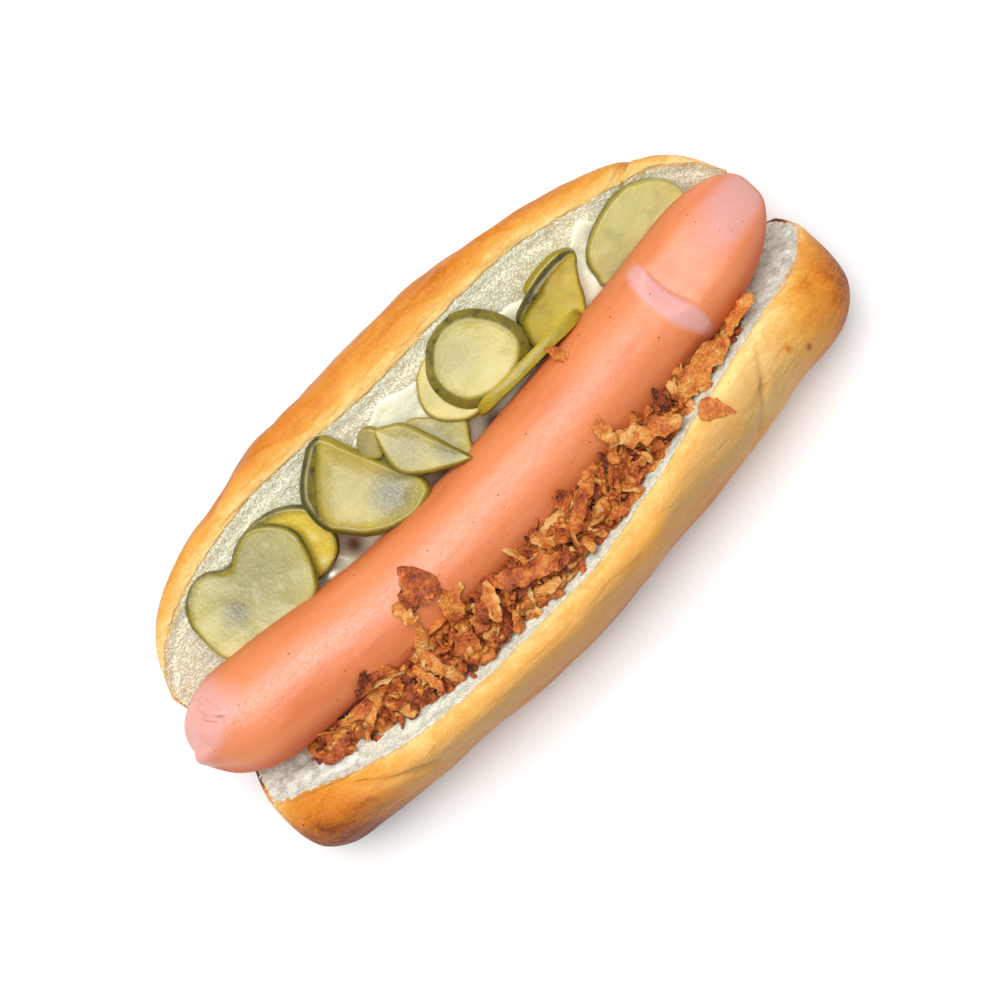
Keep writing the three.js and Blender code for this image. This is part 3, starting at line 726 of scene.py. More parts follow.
@dataclass(frozen=True)
class PickleFinish(Finish):
    """Brined gherkin: pale green flesh, yellower in places, with cloudy seed patches and an olive peel."""

    NAME: ClassVar[str] = "pickle"
    pale: Colour = paint(186, 180, 116)
    yellow: Colour = paint(198, 172, 44)
    murk: Colour = paint(110, 108, 84)
    seed: Colour = paint(206, 200, 160)
    peel: Colour = paint(112, 102, 36)
    peel_dark: Colour = paint(56, 50, 26)
    edge: Colour = paint(136, 120, 16)
    roughness: float = 0.3
    relief: float = 0.16

    def wire(self, w: Wiring, surface: bpy.types.Node, shared: Finishes) -> None:
        """Flesh or peel by the mark peel, with the flesh tinted by the marks yellow, murk and line."""
        where = w.place()
        flesh = w.blend(w.mark("yellow"), self.pale, self.yellow)
        clouded = w.group(
            shared.mottle, Vector=where, Colour=flesh, Light=self.seed, Dark=self.murk, Size=4.0,
            Strength=0.25,
        )
        clouded = w.blend(w.mark("murk"), clouded, self.murk)
        strands = w.veins(w.cloud(w.place((0.5, 2.0, 1.0)), 1.2, 2.0, 0.6))
        wisps = w.times(w.span(strands, 0.02, 0.0), w.plus(w.mark("murk"), 0.1))
        clouded = w.blend(w.times(wisps, 0.7), clouded, self.seed)
        peel = w.group(
            shared.mottle, Vector=where, Colour=self.peel, Light=self.edge, Dark=self.peel_dark, Size=2.2,
            Strength=0.9,
        )
        depth = w.plus(w.mark("peel"), w.swing(w.cloud(where, 1.5, 3.0), 0.7))
        colour = w.blend(w.span(depth, -1.8, 0.0, 0.0, 0.85), clouded, self.edge)
        colour = w.blend(w.span(depth, -0.05, 0.3), colour, peel)
        w.fill(
            surface, Base_Color=w.blend(w.times(w.mark("line"), 0.7), colour, self.peel_dark),
            Roughness=self.roughness, Specular_IOR_Level=0.35, Subsurface_Weight=0.35,
            Subsurface_Radius=(0.9, 1.0, 0.35), Subsurface_Scale=1.8 * MM, Coat_Weight=0.25,
            Coat_Roughness=0.12, Normal=w.bump(w.cloud(where, 1.0, 4.0), self.relief),
        )


@dataclass(frozen=True)
class DressingFinish(Finish):
    """Thick cream-coloured dressing with a wet sheen."""

    NAME: ClassVar[str] = "dressing"
    cream: Colour = paint(255, 252, 226)
    shade: Colour = paint(244, 234, 194)
    soaked: Colour = paint(92, 56, 32)
    roughness: float = 0.24
    relief: float = 0.2

    def wire(self, w: Wiring, surface: bpy.types.Node, shared: Finishes) -> None:
        """Cream with faint clouds, dark brown by the mark soaked: bits beside the sausage, painted dark with
        the shadow they lie in.
        """
        where = w.place()
        tint = w.group(
            shared.mottle, Vector=where, Colour=self.cream, Light=self.cream, Dark=self.shade, Size=4.0,
            Strength=0.5,
        )
        w.fill(
            surface, Base_Color=w.blend(w.mark("soaked"), tint, self.soaked), Roughness=self.roughness,
            Subsurface_Weight=0.25, Subsurface_Scale=1.5 * MM, Coat_Weight=0.3,
            Normal=w.bump(w.cloud(where, 1.6, 2.0), self.relief),
        )


@dataclass(frozen=True)
class FriedOnionFinish(Finish):
    """Crisp fried onion: flakes from pale gold to burnt red-brown, greasy, with blistered surfaces."""

    NAME: ClassVar[str] = "fried onion"
    char: Colour = paint(44, 16, 6)
    red_brown: Colour = paint(158, 68, 26)
    copper: Colour = paint(196, 100, 38)
    golden: Colour = paint(222, 142, 58)
    pale: Colour = paint(232, 184, 118)
    roughness: float = 0.4
    patchiness: float = 0.9
    relief: float = 0.42

    def wire(self, w: Wiring, surface: bpy.types.Node, shared: Finishes) -> None:
        """Each flake's own mark tone, made patchy and read from burnt to pale, with burnt specks."""
        where = w.place()
        patch = w.swing(w.cloud(where, 2.4, 4.0), self.patchiness)
        grain = w.swing(w.cloud(where, 0.7, 4.0, 0.6), self.patchiness)
        # The darkest stop is burnt onion, and also the painted shade of the heap's core.
        colour = w.steps(w.plus(w.mark("tone"), patch, grain), [
            (0.0, self.char), (0.28, self.red_brown), (0.5, self.copper), (0.74, self.golden),
            (1.0, self.pale),
        ])
        burnt = w.group(shared.specks, Vector=where, Spacing=2.0, Radius=0.35, Share=0.2)
        blisters = w.plus(w.cells(where, 0.7), w.times(w.cloud(where, 0.5, 4.0, 0.65), 1.5))
        w.fill(
            surface, Base_Color=w.blend(w.times(burnt, 0.5), colour, self.red_brown),
            Roughness=self.roughness, Specular_IOR_Level=0.4, Subsurface_Weight=0.25,
            Subsurface_Radius=(1.0, 0.5, 0.15), Subsurface_Scale=1.0 * MM, Coat_Weight=0.1,
            Coat_Roughness=0.25, Normal=w.bump(blisters, self.relief),
        )


# ---- the sausage ------------------------------------------------------------------------------------------


@dataclass
class Sausage:
    """A bowed frankfurter, pressed flat on top behind a step at its right end and tied off at its left.

    step_start and step_end give x by y, and crease_at is how far down that step its crease lies. fold, lobe,
    nub and tear are places (x, y) on the left end.
    """

    radius: float = 13.3
    ends: tuple[float, float] = (-90.3, 88.2)
    left_cap: float = 17.0
    right_cap: float = 26.0
    step_depth: float = 1.9
    step_start: Curve = Curve(((-15, 55.6), (-11.6, 52.6), (-5.3, 51), (1, 50.4), (5.7, 51.4), (8.5, 54)))
    step_end: Curve = Curve(((-15, 58.4), (-9.9, 58.8), (-4, 56.8), (0, 56.1), (8.5, 56.6)))
    step_rings: tuple[float, float, int] = (48, 60, 50)
    flat_sink: float = 0.9
    puckers: int = 5
    pucker_depth: float = 0.5
    fold: tuple[float, float] = (-78.2, 3.8)
    fold_radius: float = 3.9
    lobe: tuple[float, float] = (-84.6, 1.6)
    nub: tuple[float, float] = (-88.0, -1.9)
    tear: tuple[float, float] = (-86.6, -3.2)
    crease_at: float = 1.08
    stations: int = 440
    sides: int = 200
    across: Curve = Curve((
        (-91, 0), (-75, -2.2), (-58, -4), (-34, -7.4), (0, -7.6), (25, -5.6), (42, -4), (63, -1.6),
        (88.5, 2.6),
    ))
    height: Curve = Curve(((-91, 28.5), (-45, 28), (0, 28), (50, 28), (88.5, 29.5)))

    def fullness(self, x: np.ndarray) -> np.ndarray:
        """The radius at x over the full one: (1 - (1 - distance / length) ** power) ** (1 / power) at each
        end, with a power of 2 at the left and 2.1 at the right."""

        def cap(distance: np.ndarray, length: float, power: float) -> np.ndarray:
            """The closing of one end."""
            inside = 1.0 - (1.0 - np.clip(distance / length, 0.0, 1.0)) ** power
            return np.maximum(inside, 0.0) ** (1.0 / power)

        return cap(x - self.ends[0], self.left_cap, 2.0) * cap(self.ends[1] - x, self.right_cap, 2.1)

    def top(self, x: np.ndarray, y: np.ndarray) -> np.ndarray:
        """The height of the skin over (x, y), and of its widest line beyond its sides."""
        r = self.radius * self.fullness(x)
        off = np.clip(y - self.across(x), -r, r)
        return self.height(x) + np.sqrt(np.maximum(r * r - off * off, 0.0))

    def shell(self, uneven: Unevenness) -> Shell:
        """The skin: rings across X that follow the bowed centre line, closed by a pole at each end.

        The radius loses the pucker round the knot and gains a slight waviness, the top is cut flat at the
        right end, and the left end is pushed into folds.

        Args:
            uneven: the noise that roughens it.

        Returns:
            The closed shell, with marks pink, torn, flank and bloom.
        """
        low, high = self.ends
        t = np.arange(1, self.stations) / self.stations
        plain = mix(low, high, 0.5 - 0.5 * np.cos(np.pi * t))
        xs = np.sort(np.concatenate([plain, np.linspace(*self.step_rings)]))
        angle = 2 * np.pi * np.arange(self.sides) / self.sides
        x, a = np.meshgrid(xs, angle, indexing="ij")
        pucker = self.pucker_depth * np.cos(self.puckers * a) * ramp(8, 2, x - low)
        r = self.radius * self.fullness(x) - pucker
        y = self.across(x) + r * np.cos(a)
        z, cut = self.flattened(x, y, self.height(x) + r * np.sin(a))
        points = np.stack([x, y, z], axis=-1)
        stretched = points * np.array([0.35, 1.0, 1.0])
        swell = 0.16 * uneven.layered(stretched, 7.0, 3)
        swell = swell + 0.07 * uneven.layered(stretched * [0.8, 1, 1], 1.6, 2)
        outward = np.stack([np.zeros_like(a), np.cos(a), np.sin(a)], axis=-1)
        points = points + outward * (swell * self.fullness(x))[..., None]
        pink, torn, lift = self.end_marks(points, cut, uneven)
        flank, bloom = self.side_marks(points, cut)
        points = points + lift
        poles = np.array([
            [low - 0.3, self.across(low), self.height(low) - 1.0],
            [high, *points[-1, :, 1:].mean(axis=0)],
        ])
        marks = {
            "pink": np.append(pink.ravel(), [0.6, 0.1]),
            "torn": np.append(torn.ravel(), [0.6, 0.0]),
            "flank": np.append(flank.ravel(), [0.0, 0.3]),
            "bloom": np.append(bloom.ravel(), [0.0, 0.0]),
        }
        return Shell(np.concatenate([points.reshape(-1, 3), poles]), *tube_faces(*x.shape), marks)

    def flattened(self, x: np.ndarray, y: np.ndarray, z: np.ndarray) -> tuple[np.ndarray, np.ndarray]:
        """The top cut flat from a slanted step to the right tip.

        The step falls from step_start to a crease at step_end by step_depth, and the flat sinks a little more
        towards the tip. Skin above the cut is brought down to it with a rounded edge.

        Args:
            x: places along the sausage.
            y: places across it.
            z: the plain skin's heights.

        Returns:
            The cut heights, and how much of the cut shows at each place, from 0 to 1.
        """
        down = self.down_step(x, y)
        crease = 0.3 * bell(down - self.crease_at, 0.16)
        depth = self.step_depth * mix(ramp(0, 1, down), np.clip(down, 0, 1), 0.6) + crease
        top = self.height(x) + self.radius * self.fullness(x)
        cut = top - depth - self.flat_sink * ramp(66.0, 84.0, x)
        over = z - cut
        kept = 0.5 * (over - np.sqrt(over * over + mix(0.25, 2.4, ramp(56.0, 64.0, x))))
        shows = ramp(-0.4, 2.6, over) * np.clip(down, 0, 1)
        return np.where(x > 45.0, cut + mix(over, kept, ramp(45.0, 50.0, x)), z), shows

    def down_step(self, x: np.ndarray, y: np.ndarray) -> np.ndarray:
        """How far down the step a place is: 0 at its upper line and 1 at its crease."""
        start = self.step_start(y)
        return (x - start) / (self.step_end(y) - start)

    def side_marks(self, points: np.ndarray, cut: np.ndarray) -> tuple[np.ndarray, np.ndarray]:
        """Where shade is painted down the skin's sides as a deeper orange, and where a pink highlight is
        painted along its top.

        Args:
            points: the skin's points.
            cut: how much of the flat cut shows.

        Returns:
            The two shares.
        """
        x, off = points[..., 0], points[..., 1] - self.across(points[..., 0])
        steep = (points[..., 2] - self.height(x)) / np.maximum(self.radius * self.fullness(x), 1.0)
        # Painted shade: deeper colour down the sides, more on the side away from the key light.
        flank = ramp(0.72, 0.22, steep) * mix(0.45, 0.8, ramp(2.0, -2.0, off)) * (1 - 0.6 * cut)
        # Painted highlight: a pink band along the top, where the key light's reflection falls.
        bloom = bell(off - 0.2, 3.4) * ramp(0.0, 0.4, steep) * mix(0.5, 0.2, ramp(-60.0, 10.0, x))
        return flank, bloom * ramp(50.0, 40.0, x)

    def end_marks(self, points: np.ndarray, cut: np.ndarray,
                  uneven: Unevenness) -> tuple[np.ndarray, np.ndarray, np.ndarray]:
        """Where the skin shows pink flesh or a painted pink highlight, where it is torn or has painted shade,
        and how far it is pushed there.

        The flesh shows along the step. The pink on the flat towards the right tip and on the left end is a
        painted highlight; the left end also has a fold, a lobe, the nub of its knot and a tear.

        Args:
            points: the skin's points.
            cut: how much of the flat cut shows.
            uneven: the noise that makes the edges of the pink wander.

        Returns:
            The pink share, the torn share (the tear, with painted shade along the fold's groove and the step's
            crease) and each point's shift in mm.
        """
        x, y, z = points[..., 0], points[..., 1], points[..., 2]
        off = y - self.across(x)
        facing = ramp(-3.0, 5.0, z - self.height(x))
        wander = uneven.layered(points, 4.0, 3)
        down = self.down_step(x, y) + 0.12 * wander
        sides = ramp(-15.8, -13.0, y) * ramp(8.4, 5.6, y)
        band = ramp(-0.1, 0.3, down) * ramp(1.06, 0.74, down) * sides * facing
        # Painted highlight: the pink on the flat towards the right tip.
        tip = cut * (0.3 + 0.6 * ramp(64.0, 78.0, x + 4.0 * wander)) * ramp(88.1, 86.2, x + 0.8 * wander)
        # Painted highlight: the pink patch on the left end.
        low = -1.2 + 0.3 * (x + 76.5)
        patch = ramp(-68.0, -76.5, x + 0.3 * off + 2.4 * wander)
        patch = patch * ramp(low - 1.4, low + 1.8, y + 1.2 * wander) * facing
        pink = np.clip(band + tip + 0.85 * patch, 0.0, 1.0)
        fold_x, fold_y = x - self.fold[0], y - self.fold[1]
        bearing = np.degrees(np.arctan2(fold_y, fold_x)) % 360
        on_fold = ramp(85.0, 125.0, bearing) * ramp(300.0, 262.0, bearing) * facing
        reach = np.hypot(fold_x, fold_y) + 0.4 * np.sin(2.3 * x + 1.7 * y)
        groove = bell(reach - self.fold_radius, 0.5) * on_fold
        swell = ramp(self.fold_radius, 2.4, reach) * on_fold
        lobe = bell(away(x, y, self.lobe, 0.7), 1.7) * facing
        nub = bell(away(x, y, self.nub, 0.8), 1.9) * ramp(24.0, 30.0, z)
        tear = bell(away(x, y, self.tear, 0.5), 0.5) * facing * ramp(-0.5, 0.3, wander)
        crease = bell(down - self.crease_at, 0.14) * cut
        # Painted shade: besides the tear itself, the groove and the crease are darkened.
        torn = np.clip(0.6 * tear + 0.05 * groove + 0.1 * crease, 0.0, 1.0)
        out = points - np.array([-74.0, 0.0, 0.0])
        out[..., 1] = off
        out[..., 2] = z - self.height(x)
        out = out / np.maximum(np.linalg.norm(out, axis=-1, keepdims=True), 1e-6)
        push = 0.55 * swell - 0.5 * groove + 0.7 * lobe + 2.0 * nub - 0.3 * tear
        push = push * ramp(-66.0, -70.0, x)
        return pink, torn, out * push[..., None]


# ---- the bun ----------------------------------------------------------------------------------------------


class Half(Enum):
    """Which half of the opened bun: the sign of Y there."""

    PICKLES = 1
    ONIONS = -1


@dataclass(frozen=True)
class Crease:
    """A crease pressed into the crust, from one (x, share of the way up the crust) to another."""

    half: Half
    start: tuple[float, float]
    end: tuple[float, float]
    depth: float
    width: float


@dataclass(frozen=True)
class Bake:
    """How brown one half's crust gets, from 0 pale to 1 dark: most on its side, full at reach mm from the rim
    after a rise of that power, more at its ends, darker underneath as painted shade, and less over a gap
    beside its right end."""

    reach: float
    power: float
    most: float
    left_end: float
    right_end: float
    under: float
    gap: float


@dataclass
class Bun:
    """A wheat bun sliced along its top: crumb above and crust below, joined along the rims and both ends.

    rim and side give y by x for each half, where the crumb meets the crust and where the crust is widest.
    foot_at, side_at and crest_at are shares of the way round a section of the crust, and girth turns a
    difference of such shares into mm. bulge is how far the crust is domed at the ends, end_lift how far the
    underside rises there from lift_from on, and mouth half the length of the crumb.
    """

    sausage: Sausage
    left: float = -87.0
    right_pickles: float = 87.8
    right_onions: float = 90.6
    bulge: dict[Half, float] = field(default_factory=lambda: {Half.PICKLES: 1.2, Half.ONIONS: 4.8})
    hinge_height: float = 8.0
    face_power: float = 1.25
    foot_at: float = 0.3
    side_at: float = 0.6
    crest_at: float = 0.86
    end_lift: float = 9.0
    lift_from: float = 0.72
    lip_width: float = 5.5
    lip_height: float = 2.6
    bed_gap: float = 0.5
    girth: float = 60.0
    swell: float = 0.35
    coarse_pores: float = 3.4
    fine_pores: float = 1.7
    mouth: float = 88.0
    pits: tuple[tuple[float, float], ...] = ((70.3, -32.1), (66.1, -29.5))
    pit_radius: float = 0.7
    darkest: float = 0.86
    bakes: dict[Half, Bake] = field(default_factory=lambda: {
        Half.PICKLES: Bake(6.5, power=1.0, most=0.52, left_end=0.0, right_end=0.02, under=0.12, gap=0.0),
        Half.ONIONS: Bake(7.0, power=0.7, most=0.4, left_end=0.36, right_end=0.3, under=0.24, gap=0.26),
    })
    stations: int = 330
    rim: dict[Half, Curve] = field(default_factory=lambda: {
        Half.PICKLES: Curve((
            (-90, 8), (-86, 16), (-78, 23.5), (-62, 28.8), (-38, 31.6), (-5, 29.3), (20, 30), (38, 29.6),
            (58, 25.2), (76, 21), (85, 14.5), (90, 7),
        )),
        Half.ONIONS: Curve((
            (-90, -11), (-86, -19.5), (-78, -23.8), (-58, -31), (-36, -34), (0, -34), (22, -30.8), (42, -26),
            (66, -20.5), (84, -16), (90, -10),
        )),
    })
    side: dict[Half, Curve] = field(default_factory=lambda: {
        Half.PICKLES: Curve((
            (-90, 12), (-86, 19), (-77, 29.4), (-62, 36.2), (-50, 39), (-37, 41.9), (-26, 43), (-13, 42.4),
            (12, 42.2), (27, 41), (40, 38.2), (51, 36), (59, 34.1), (67, 31), (75, 26.4), (83, 20), (90, 11),
        )),
        Half.ONIONS: Curve((
            (-89, -35), (-80, -38.6), (-69, -39.6), (-61, -40.1), (-50, -41.6), (-37, -42.5), (-21, -43.6),
            (-5, -44.1), (11, -42.6), (22, -40.7), (35, -40.1), (51, -38.1), (67, -35.3), (80, -34.2),
            (92, -28),
        )),
    })
    rim_height: Curve = Curve((
        (-90, 19), (-84, 26), (-72, 31.5), (-50, 36), (0, 37.5), (45, 36), (68, 32), (83, 25.5), (90, 19),
    ))
    hinge: Curve = Curve(((-90, -1), (-20, -3.5), (20, -3.5), (90, 0)))
    creases: tuple[Crease, ...] = (
        Crease(Half.PICKLES, (65, 1.0), (73, 0.75), 2.2, 2.2),
        Crease(Half.PICKLES, (-50, 0.8), (-20, 0.66), 1.2, 3.0),
        Crease(Half.PICKLES, (-66, 0.82), (-44, 0.9), 0.8, 1.4),
        Crease(Half.PICKLES, (-8, 0.86), (22, 0.74), 0.8, 1.5),
        Crease(Half.ONIONS, (65.5, 1.0), (80, 0.86), 1.4, 1.8),
        Crease(Half.ONIONS, (64, 0.93), (55.7, 0.79), 0.9, 1.3),
        Crease(Half.ONIONS, (55.7, 0.79), (47, 0.64), 0.8, 1.4),
        Crease(Half.ONIONS, (-77, 0.98), (-67, 0.88), 1.1, 1.5),
        Crease(Half.ONIONS, (-67, 0.88), (-53, 0.74), 1.2, 1.6),
        Crease(Half.PICKLES, (11, 0.8), (28, 0.94), 1.0, 1.2),
        Crease(Half.PICKLES, (36, 0.78), (52, 0.92), 0.8, 1.2),
        Crease(Half.PICKLES, (-34, 0.8), (-16, 0.93), 0.9, 1.2),
    )

    def by_half(self, curves: dict[Half, Curve], x: np.ndarray, way: np.ndarray) -> np.ndarray:
        """Each half's curve at x, on that half's side."""
        return np.where(way > 0, curves[Half.PICKLES](x), curves[Half.ONIONS](x))

    def crumb_height(self, x: np.ndarray, y: np.ndarray) -> np.ndarray:
        """The cut crumb's height: a V from the hinge up to each rim, pressed down to clear the sausage.

        The V is reach ** face_power, with reach 0 at the hinge and 1 at the rim, and the bed is a round
        trough whose radius is the sausage's and bed_gap.

        Args:
            x: places along the bun.
            y: places across it.

        Returns:
            The height at each place.
        """
        hinge = self.hinge(x)
        rim = self.by_half(self.rim, x, y - hinge)
        reach = np.clip((y - hinge) / (rim - hinge), 0.0, 1.2)
        opened = mix(self.hinge_height, self.rim_height(x), reach**self.face_power)
        sausage = self.sausage
        full = np.maximum(sausage.fullness(x - 1.5), sausage.fullness(x + 1.5))
        bed = sausage.radius * full + self.bed_gap
        off = y - sausage.across(x)
        trough = sausage.height(x) - np.sqrt(np.maximum(bed * bed - off * off, 0.0))
        return np.where(np.abs(off) < bed, np.minimum(opened, trough), opened)

    def crust_section(self, x: np.ndarray, end: np.ndarray, way: np.ndarray, w: np.ndarray) -> np.ndarray:
        """The crust across the bun, from the base's centre line (w = 0) round the side to the rim (w = 1).

        It is flat along the base up to foot_at, then an oval quarter up to the side at side_at, one over to
        the crest at crest_at and one down to the rim.

        Args:
            x: places along the bun.
            end: 0 in the middle of the bun and 1 at its ends.
            way: 1 on the pickles' half and -1 on the onions'.
            w: the way round the section.

        Returns:
            Y and Z at each place, along a new last axis.
        """
        rim = self.by_half(self.rim, x, way)
        side = self.by_half(self.side, x, way)
        rim_z = self.crumb_height(x, rim)
        hinge = self.hinge(x)
        lift = self.end_lift * np.clip((end - self.lift_from) / (1.0 - self.lift_from), 0.0, 1.0) ** 2
        band = np.abs(side - rim)
        foot = mix(hinge, side, 0.5)
        side_z = mix(rim_z * 0.5, rim_z * 0.74, ramp(0.8, 1.0, end)) + lift * 0.2
        crest = rim + np.sign(side) * np.minimum(band * 0.42, self.lip_width)
        crest_z = rim_z + np.minimum(self.lip_height, band * 0.16)
        stops = (self.foot_at, self.side_at, self.crest_at, 1.0)
        low, mid, high = (np.clip((w - a) / (b - a), 0.0, 1.0) * np.pi / 2 for a, b in zip(stops, stops[1:]))
        base = (mix(hinge, foot, w / self.foot_at), lift)
        lower = (mix(foot, side, np.sin(low) ** 0.86), mix(side_z, lift, np.cos(low) ** 0.94))
        upper = (mix(crest, side, np.cos(mid) ** 0.9), mix(side_z, crest_z, np.sin(mid) ** 0.9))
        lip = (mix(crest, rim, np.sin(high)), mix(rim_z, crest_z, np.cos(high)))
        picks = [w <= stop for stop in stops[:3]]
        y = np.select(picks, [base[0], lower[0], upper[0]], lip[0])
        z = np.select(picks, [base[1], lower[1], upper[1]], lip[1])
        return np.stack([y, z], axis=-1)

    def sink(self, x: np.ndarray, way: np.ndarray, w: np.ndarray) -> np.ndarray:
        """How far the crust lies below its plain section: bell-shaped creases and a slow swell of two waves.

        Args:
            x: places along the bun.
            way: 1 on the pickles' half and -1 on the onions'.
            w: the way round the section.

        Returns:
            The depth in mm.
        """
        total = np.zeros_like(x)
        for crease in self.creases:
            t = np.clip((x - crease.start[0]) / (crease.end[0] - crease.start[0]), 0.0, 1.0)
            off_x = x - mix(crease.start[0], crease.end[0], t)
            off_w = (w - mix(crease.start[1], crease.end[1], t)) * self.girth
            pressed = crease.depth * bell(np.hypot(off_x, off_w), crease.width)
            total += np.where(way == crease.half.value, pressed, 0.0)
        swell = np.sin(x * 0.11 + np.sign(way)) * np.sin(w * 7 + x * 0.05) + 0.6 * np.sin(x * 0.23 + w * 9)
        return total + self.swell * swell

    def sheets(self) -> tuple[np.ndarray, np.ndarray, np.ndarray, np.ndarray, np.ndarray]:
        """The two plain sheets on a grid of stations along the bun and places across it.

        Returns:
            The crumb's points, the crust's points, along (-1 to 1), way (-1 or 1) and w (0 to 1).
        """
        stops = mix(0.045, 0.955, np.linspace(0, 1, self.stations))
        us = 0.5 - 0.5 * np.cos(np.pi * stops)
        us = (us - us[0]) / (us[-1] - us[0])
        half = np.concatenate([
            np.linspace(0, self.foot_at, 11)[:-1], np.linspace(self.foot_at, self.side_at, 25)[:-1],
            np.linspace(self.side_at, self.crest_at, 26)[:-1], np.linspace(self.crest_at, 1.0, 17),
        ])
        vs = np.concatenate([-half[::-1], half[1:]])
        along, across = np.meshgrid(2 * us - 1, vs, indexing="ij")
        way, w = np.where(across < 0, -1.0, 1.0), np.abs(across)
        right = mix(self.right_pickles, self.right_onions, ramp(0, 0.4, w))
        right = np.where(way > 0, self.right_pickles, right)
        reach = np.where(along < 0, -self.left, right)
        x = along * (reach - 3 * (1 - w) ** 2)
        y = mix(self.hinge(x), self.by_half(self.rim, x, way), w)
        crumb = np.stack([x, y, self.crumb_height(x, y)], axis=-1)
        full = self.end_fullness(np.abs(along))
        section = self.crust_section(x, np.abs(along), way, w)
        sink = self.sink(x, way, w) * ramp(0.3, 0.5, w) * (1 - ramp(0.93, 1, w))
        most = np.where(way > 0, self.bulge[Half.PICKLES], self.bulge[Half.ONIONS])
        bulge = most * np.sign(along) * full * ramp(0.8, 1, np.abs(along)) * np.sin(np.pi * w)
        crust = np.stack([
            x + bulge, mix(y, section[..., 0] - way * sink * 0.8, full),
            mix(crumb[..., 2], section[..., 1] - sink * 0.6, full),
        ], axis=-1)
        return crumb, crust, along, way, w

    def shell(self, uneven: Unevenness) -> Shell:
        """The bun with its crumb torn and its crust wrinkled, joined along rims whose line wanders.

        Args:
            uneven: the noise that roughens it.

        Returns:
            The closed shell, with marks from_rim (mm, positive on the crumb), bake (0 pale to 1 dark, with
            painted shade underneath and in creases), hollow (where shade is painted on the crumb: its pores
            and the onions' half) and matt (where the crust is a muted tan).
        """
        crumb, crust, along, way, w = self.sheets()
        far = np.abs(along)
        rim_y = self.by_half(self.rim, crumb[..., 0], way)
        rim = np.stack([rim_y, self.crumb_height(crust[..., 0], rim_y)], -1)
        inward = np.abs(crumb[..., 1] - rim_y)
        outward = np.linalg.norm(crust[..., 1:] - rim, axis=-1)
        torn_z, hollow = self.torn(crumb, inward, far, way, uneven)

        jag_z = 0.4 * uneven.layered(crumb, 4.0, 3)
        jag_y = 0.55 * uneven.layered(crumb + 50.0, 4.0, 4)
        near_in, near_out = ramp(3.0, 0.0, inward), ramp(3.0, 0.0, outward) * (w > 0.5)
        soft = np.stack([crumb[..., 0], crumb[..., 1] + jag_y * near_in, torn_z + jag_z * near_in], -1)
        dents = 0.6 * uneven.layered(crust * [0.4, 1, 1], 8.0, 3)
        dents = dents + 0.16 * uneven.layered(crust * [0.3, 1, 1.2], 2.4, 2)
        dents = dents * ramp(0.5, 4.0, outward) * ramp(0.32, 0.45, w) * self.end_fullness(far)
        skin = crust.copy()
        skin[..., 1] += way * dents + jag_y * near_out
        skin[..., 2] = np.maximum(skin[..., 2] + (0.5 * dents + jag_z * near_out), 0.0)

        bake = self.bake(crust, outward, along, way, w, uneven)
        # A muted tan over part of the onions' half, from about 2 to 24 mm out from the rim.
        matt = ramp(2.0, 6.5, outward) * ramp(24.0, 13.0, outward) * ramp(0.9, 0.55, far) * (way < 0)
        matt = matt * ramp(-0.9, 0.5, uneven.layered(crust * [0.6, 1, 1], 9.0, 3))
        edge = np.minimum(inward, self.mouth * (1 - far)) - 0.6 * ramp(0.72, 0.85, far)
        edge[:, [0, -1]] = 0.0
        none = np.zeros_like(w)
        sheets = {
            "from_rim": (edge, -outward), "bake": (bake, bake), "hollow": (hollow, none),
            "matt": (none, matt),
        }
        rows, columns = w.shape
        lower = slice(columns - 2, 0, -1)
        marks = {name: np.concatenate([a, b[:, lower]], axis=1).ravel() for name, (a, b) in sheets.items()}
        points = np.concatenate([soft, skin[:, lower]], axis=1).reshape(-1, 3)
        return Shell(points, self.faces(rows, columns), marks=marks)

    def faces(self, rows: int, columns: int) -> np.ndarray:
        """The quads of both sheets joined into rings, each end closed by joining its two edges.

        Args:
            rows: how many rings.
            columns: points across a sheet.

        Returns:
            Four point numbers a quad.
        """
        around = 2 * columns - 2
        number = np.arange(rows * around)
        mirrored = np.arange(columns, around)
        for row in (0, rows - 1):
            number[row * around + mirrored] = row * around + (around - mirrored)
        return number[grid_quads(rows, around, True)]

    def end_fullness(self, far: np.ndarray) -> np.ndarray:
        """1 over most of the bun, rounding to 0 at its ends: the square root of 1 - far ** 22."""
        return np.sqrt(np.maximum(0.0, 1 - far**22))

    def torn(self, crumb: np.ndarray, inward: np.ndarray, far: np.ndarray, way: np.ndarray,
             uneven: Unevenness) -> tuple[np.ndarray, np.ndarray]:
        """The crumb's heights once it is torn, and where shade is painted on it.

        It sinks into pores of two sizes, swells slowly and dips beside its rim, all fading to nothing at the
        rim and at the bun's ends. The onions' half is lumpier at its ends.

        Args:
            crumb: the plain crumb's points.
            inward: their distance from the rim in mm.
            far: 0 in the middle of the bun and 1 at its ends.
            way: 1 on the pickles' half and -1 on the onions'.
            uneven: the noise that tears it.

        Returns:
            The heights, and the mark hollow.
        """
        fade = ramp(0.0, 2.5, inward) * ramp(1.0, 0.97, far)
        coarse = 1 - np.clip(uneven.pores(crumb * [0.8, 1, 1], self.coarse_pores) / 0.75, 0, 1)
        fine = 1 - np.clip(uneven.pores(crumb + 31.0, self.fine_pores) / 0.75, 0, 1)
        depth = 0.35 * coarse * coarse + 0.12 * fine - 0.25 * uneven.layered(crumb, 5.0, 3)
        lumpy = ramp(0.66, 0.84, far) * (way < 0)
        depth = depth + lumpy * (0.3 - 0.75 * uneven.layered(crumb + 17.0, 3.2, 2))
        lip = 0.4 * bell(inward - 1.6, 1.1) * ramp(0.4, 1.2, inward)
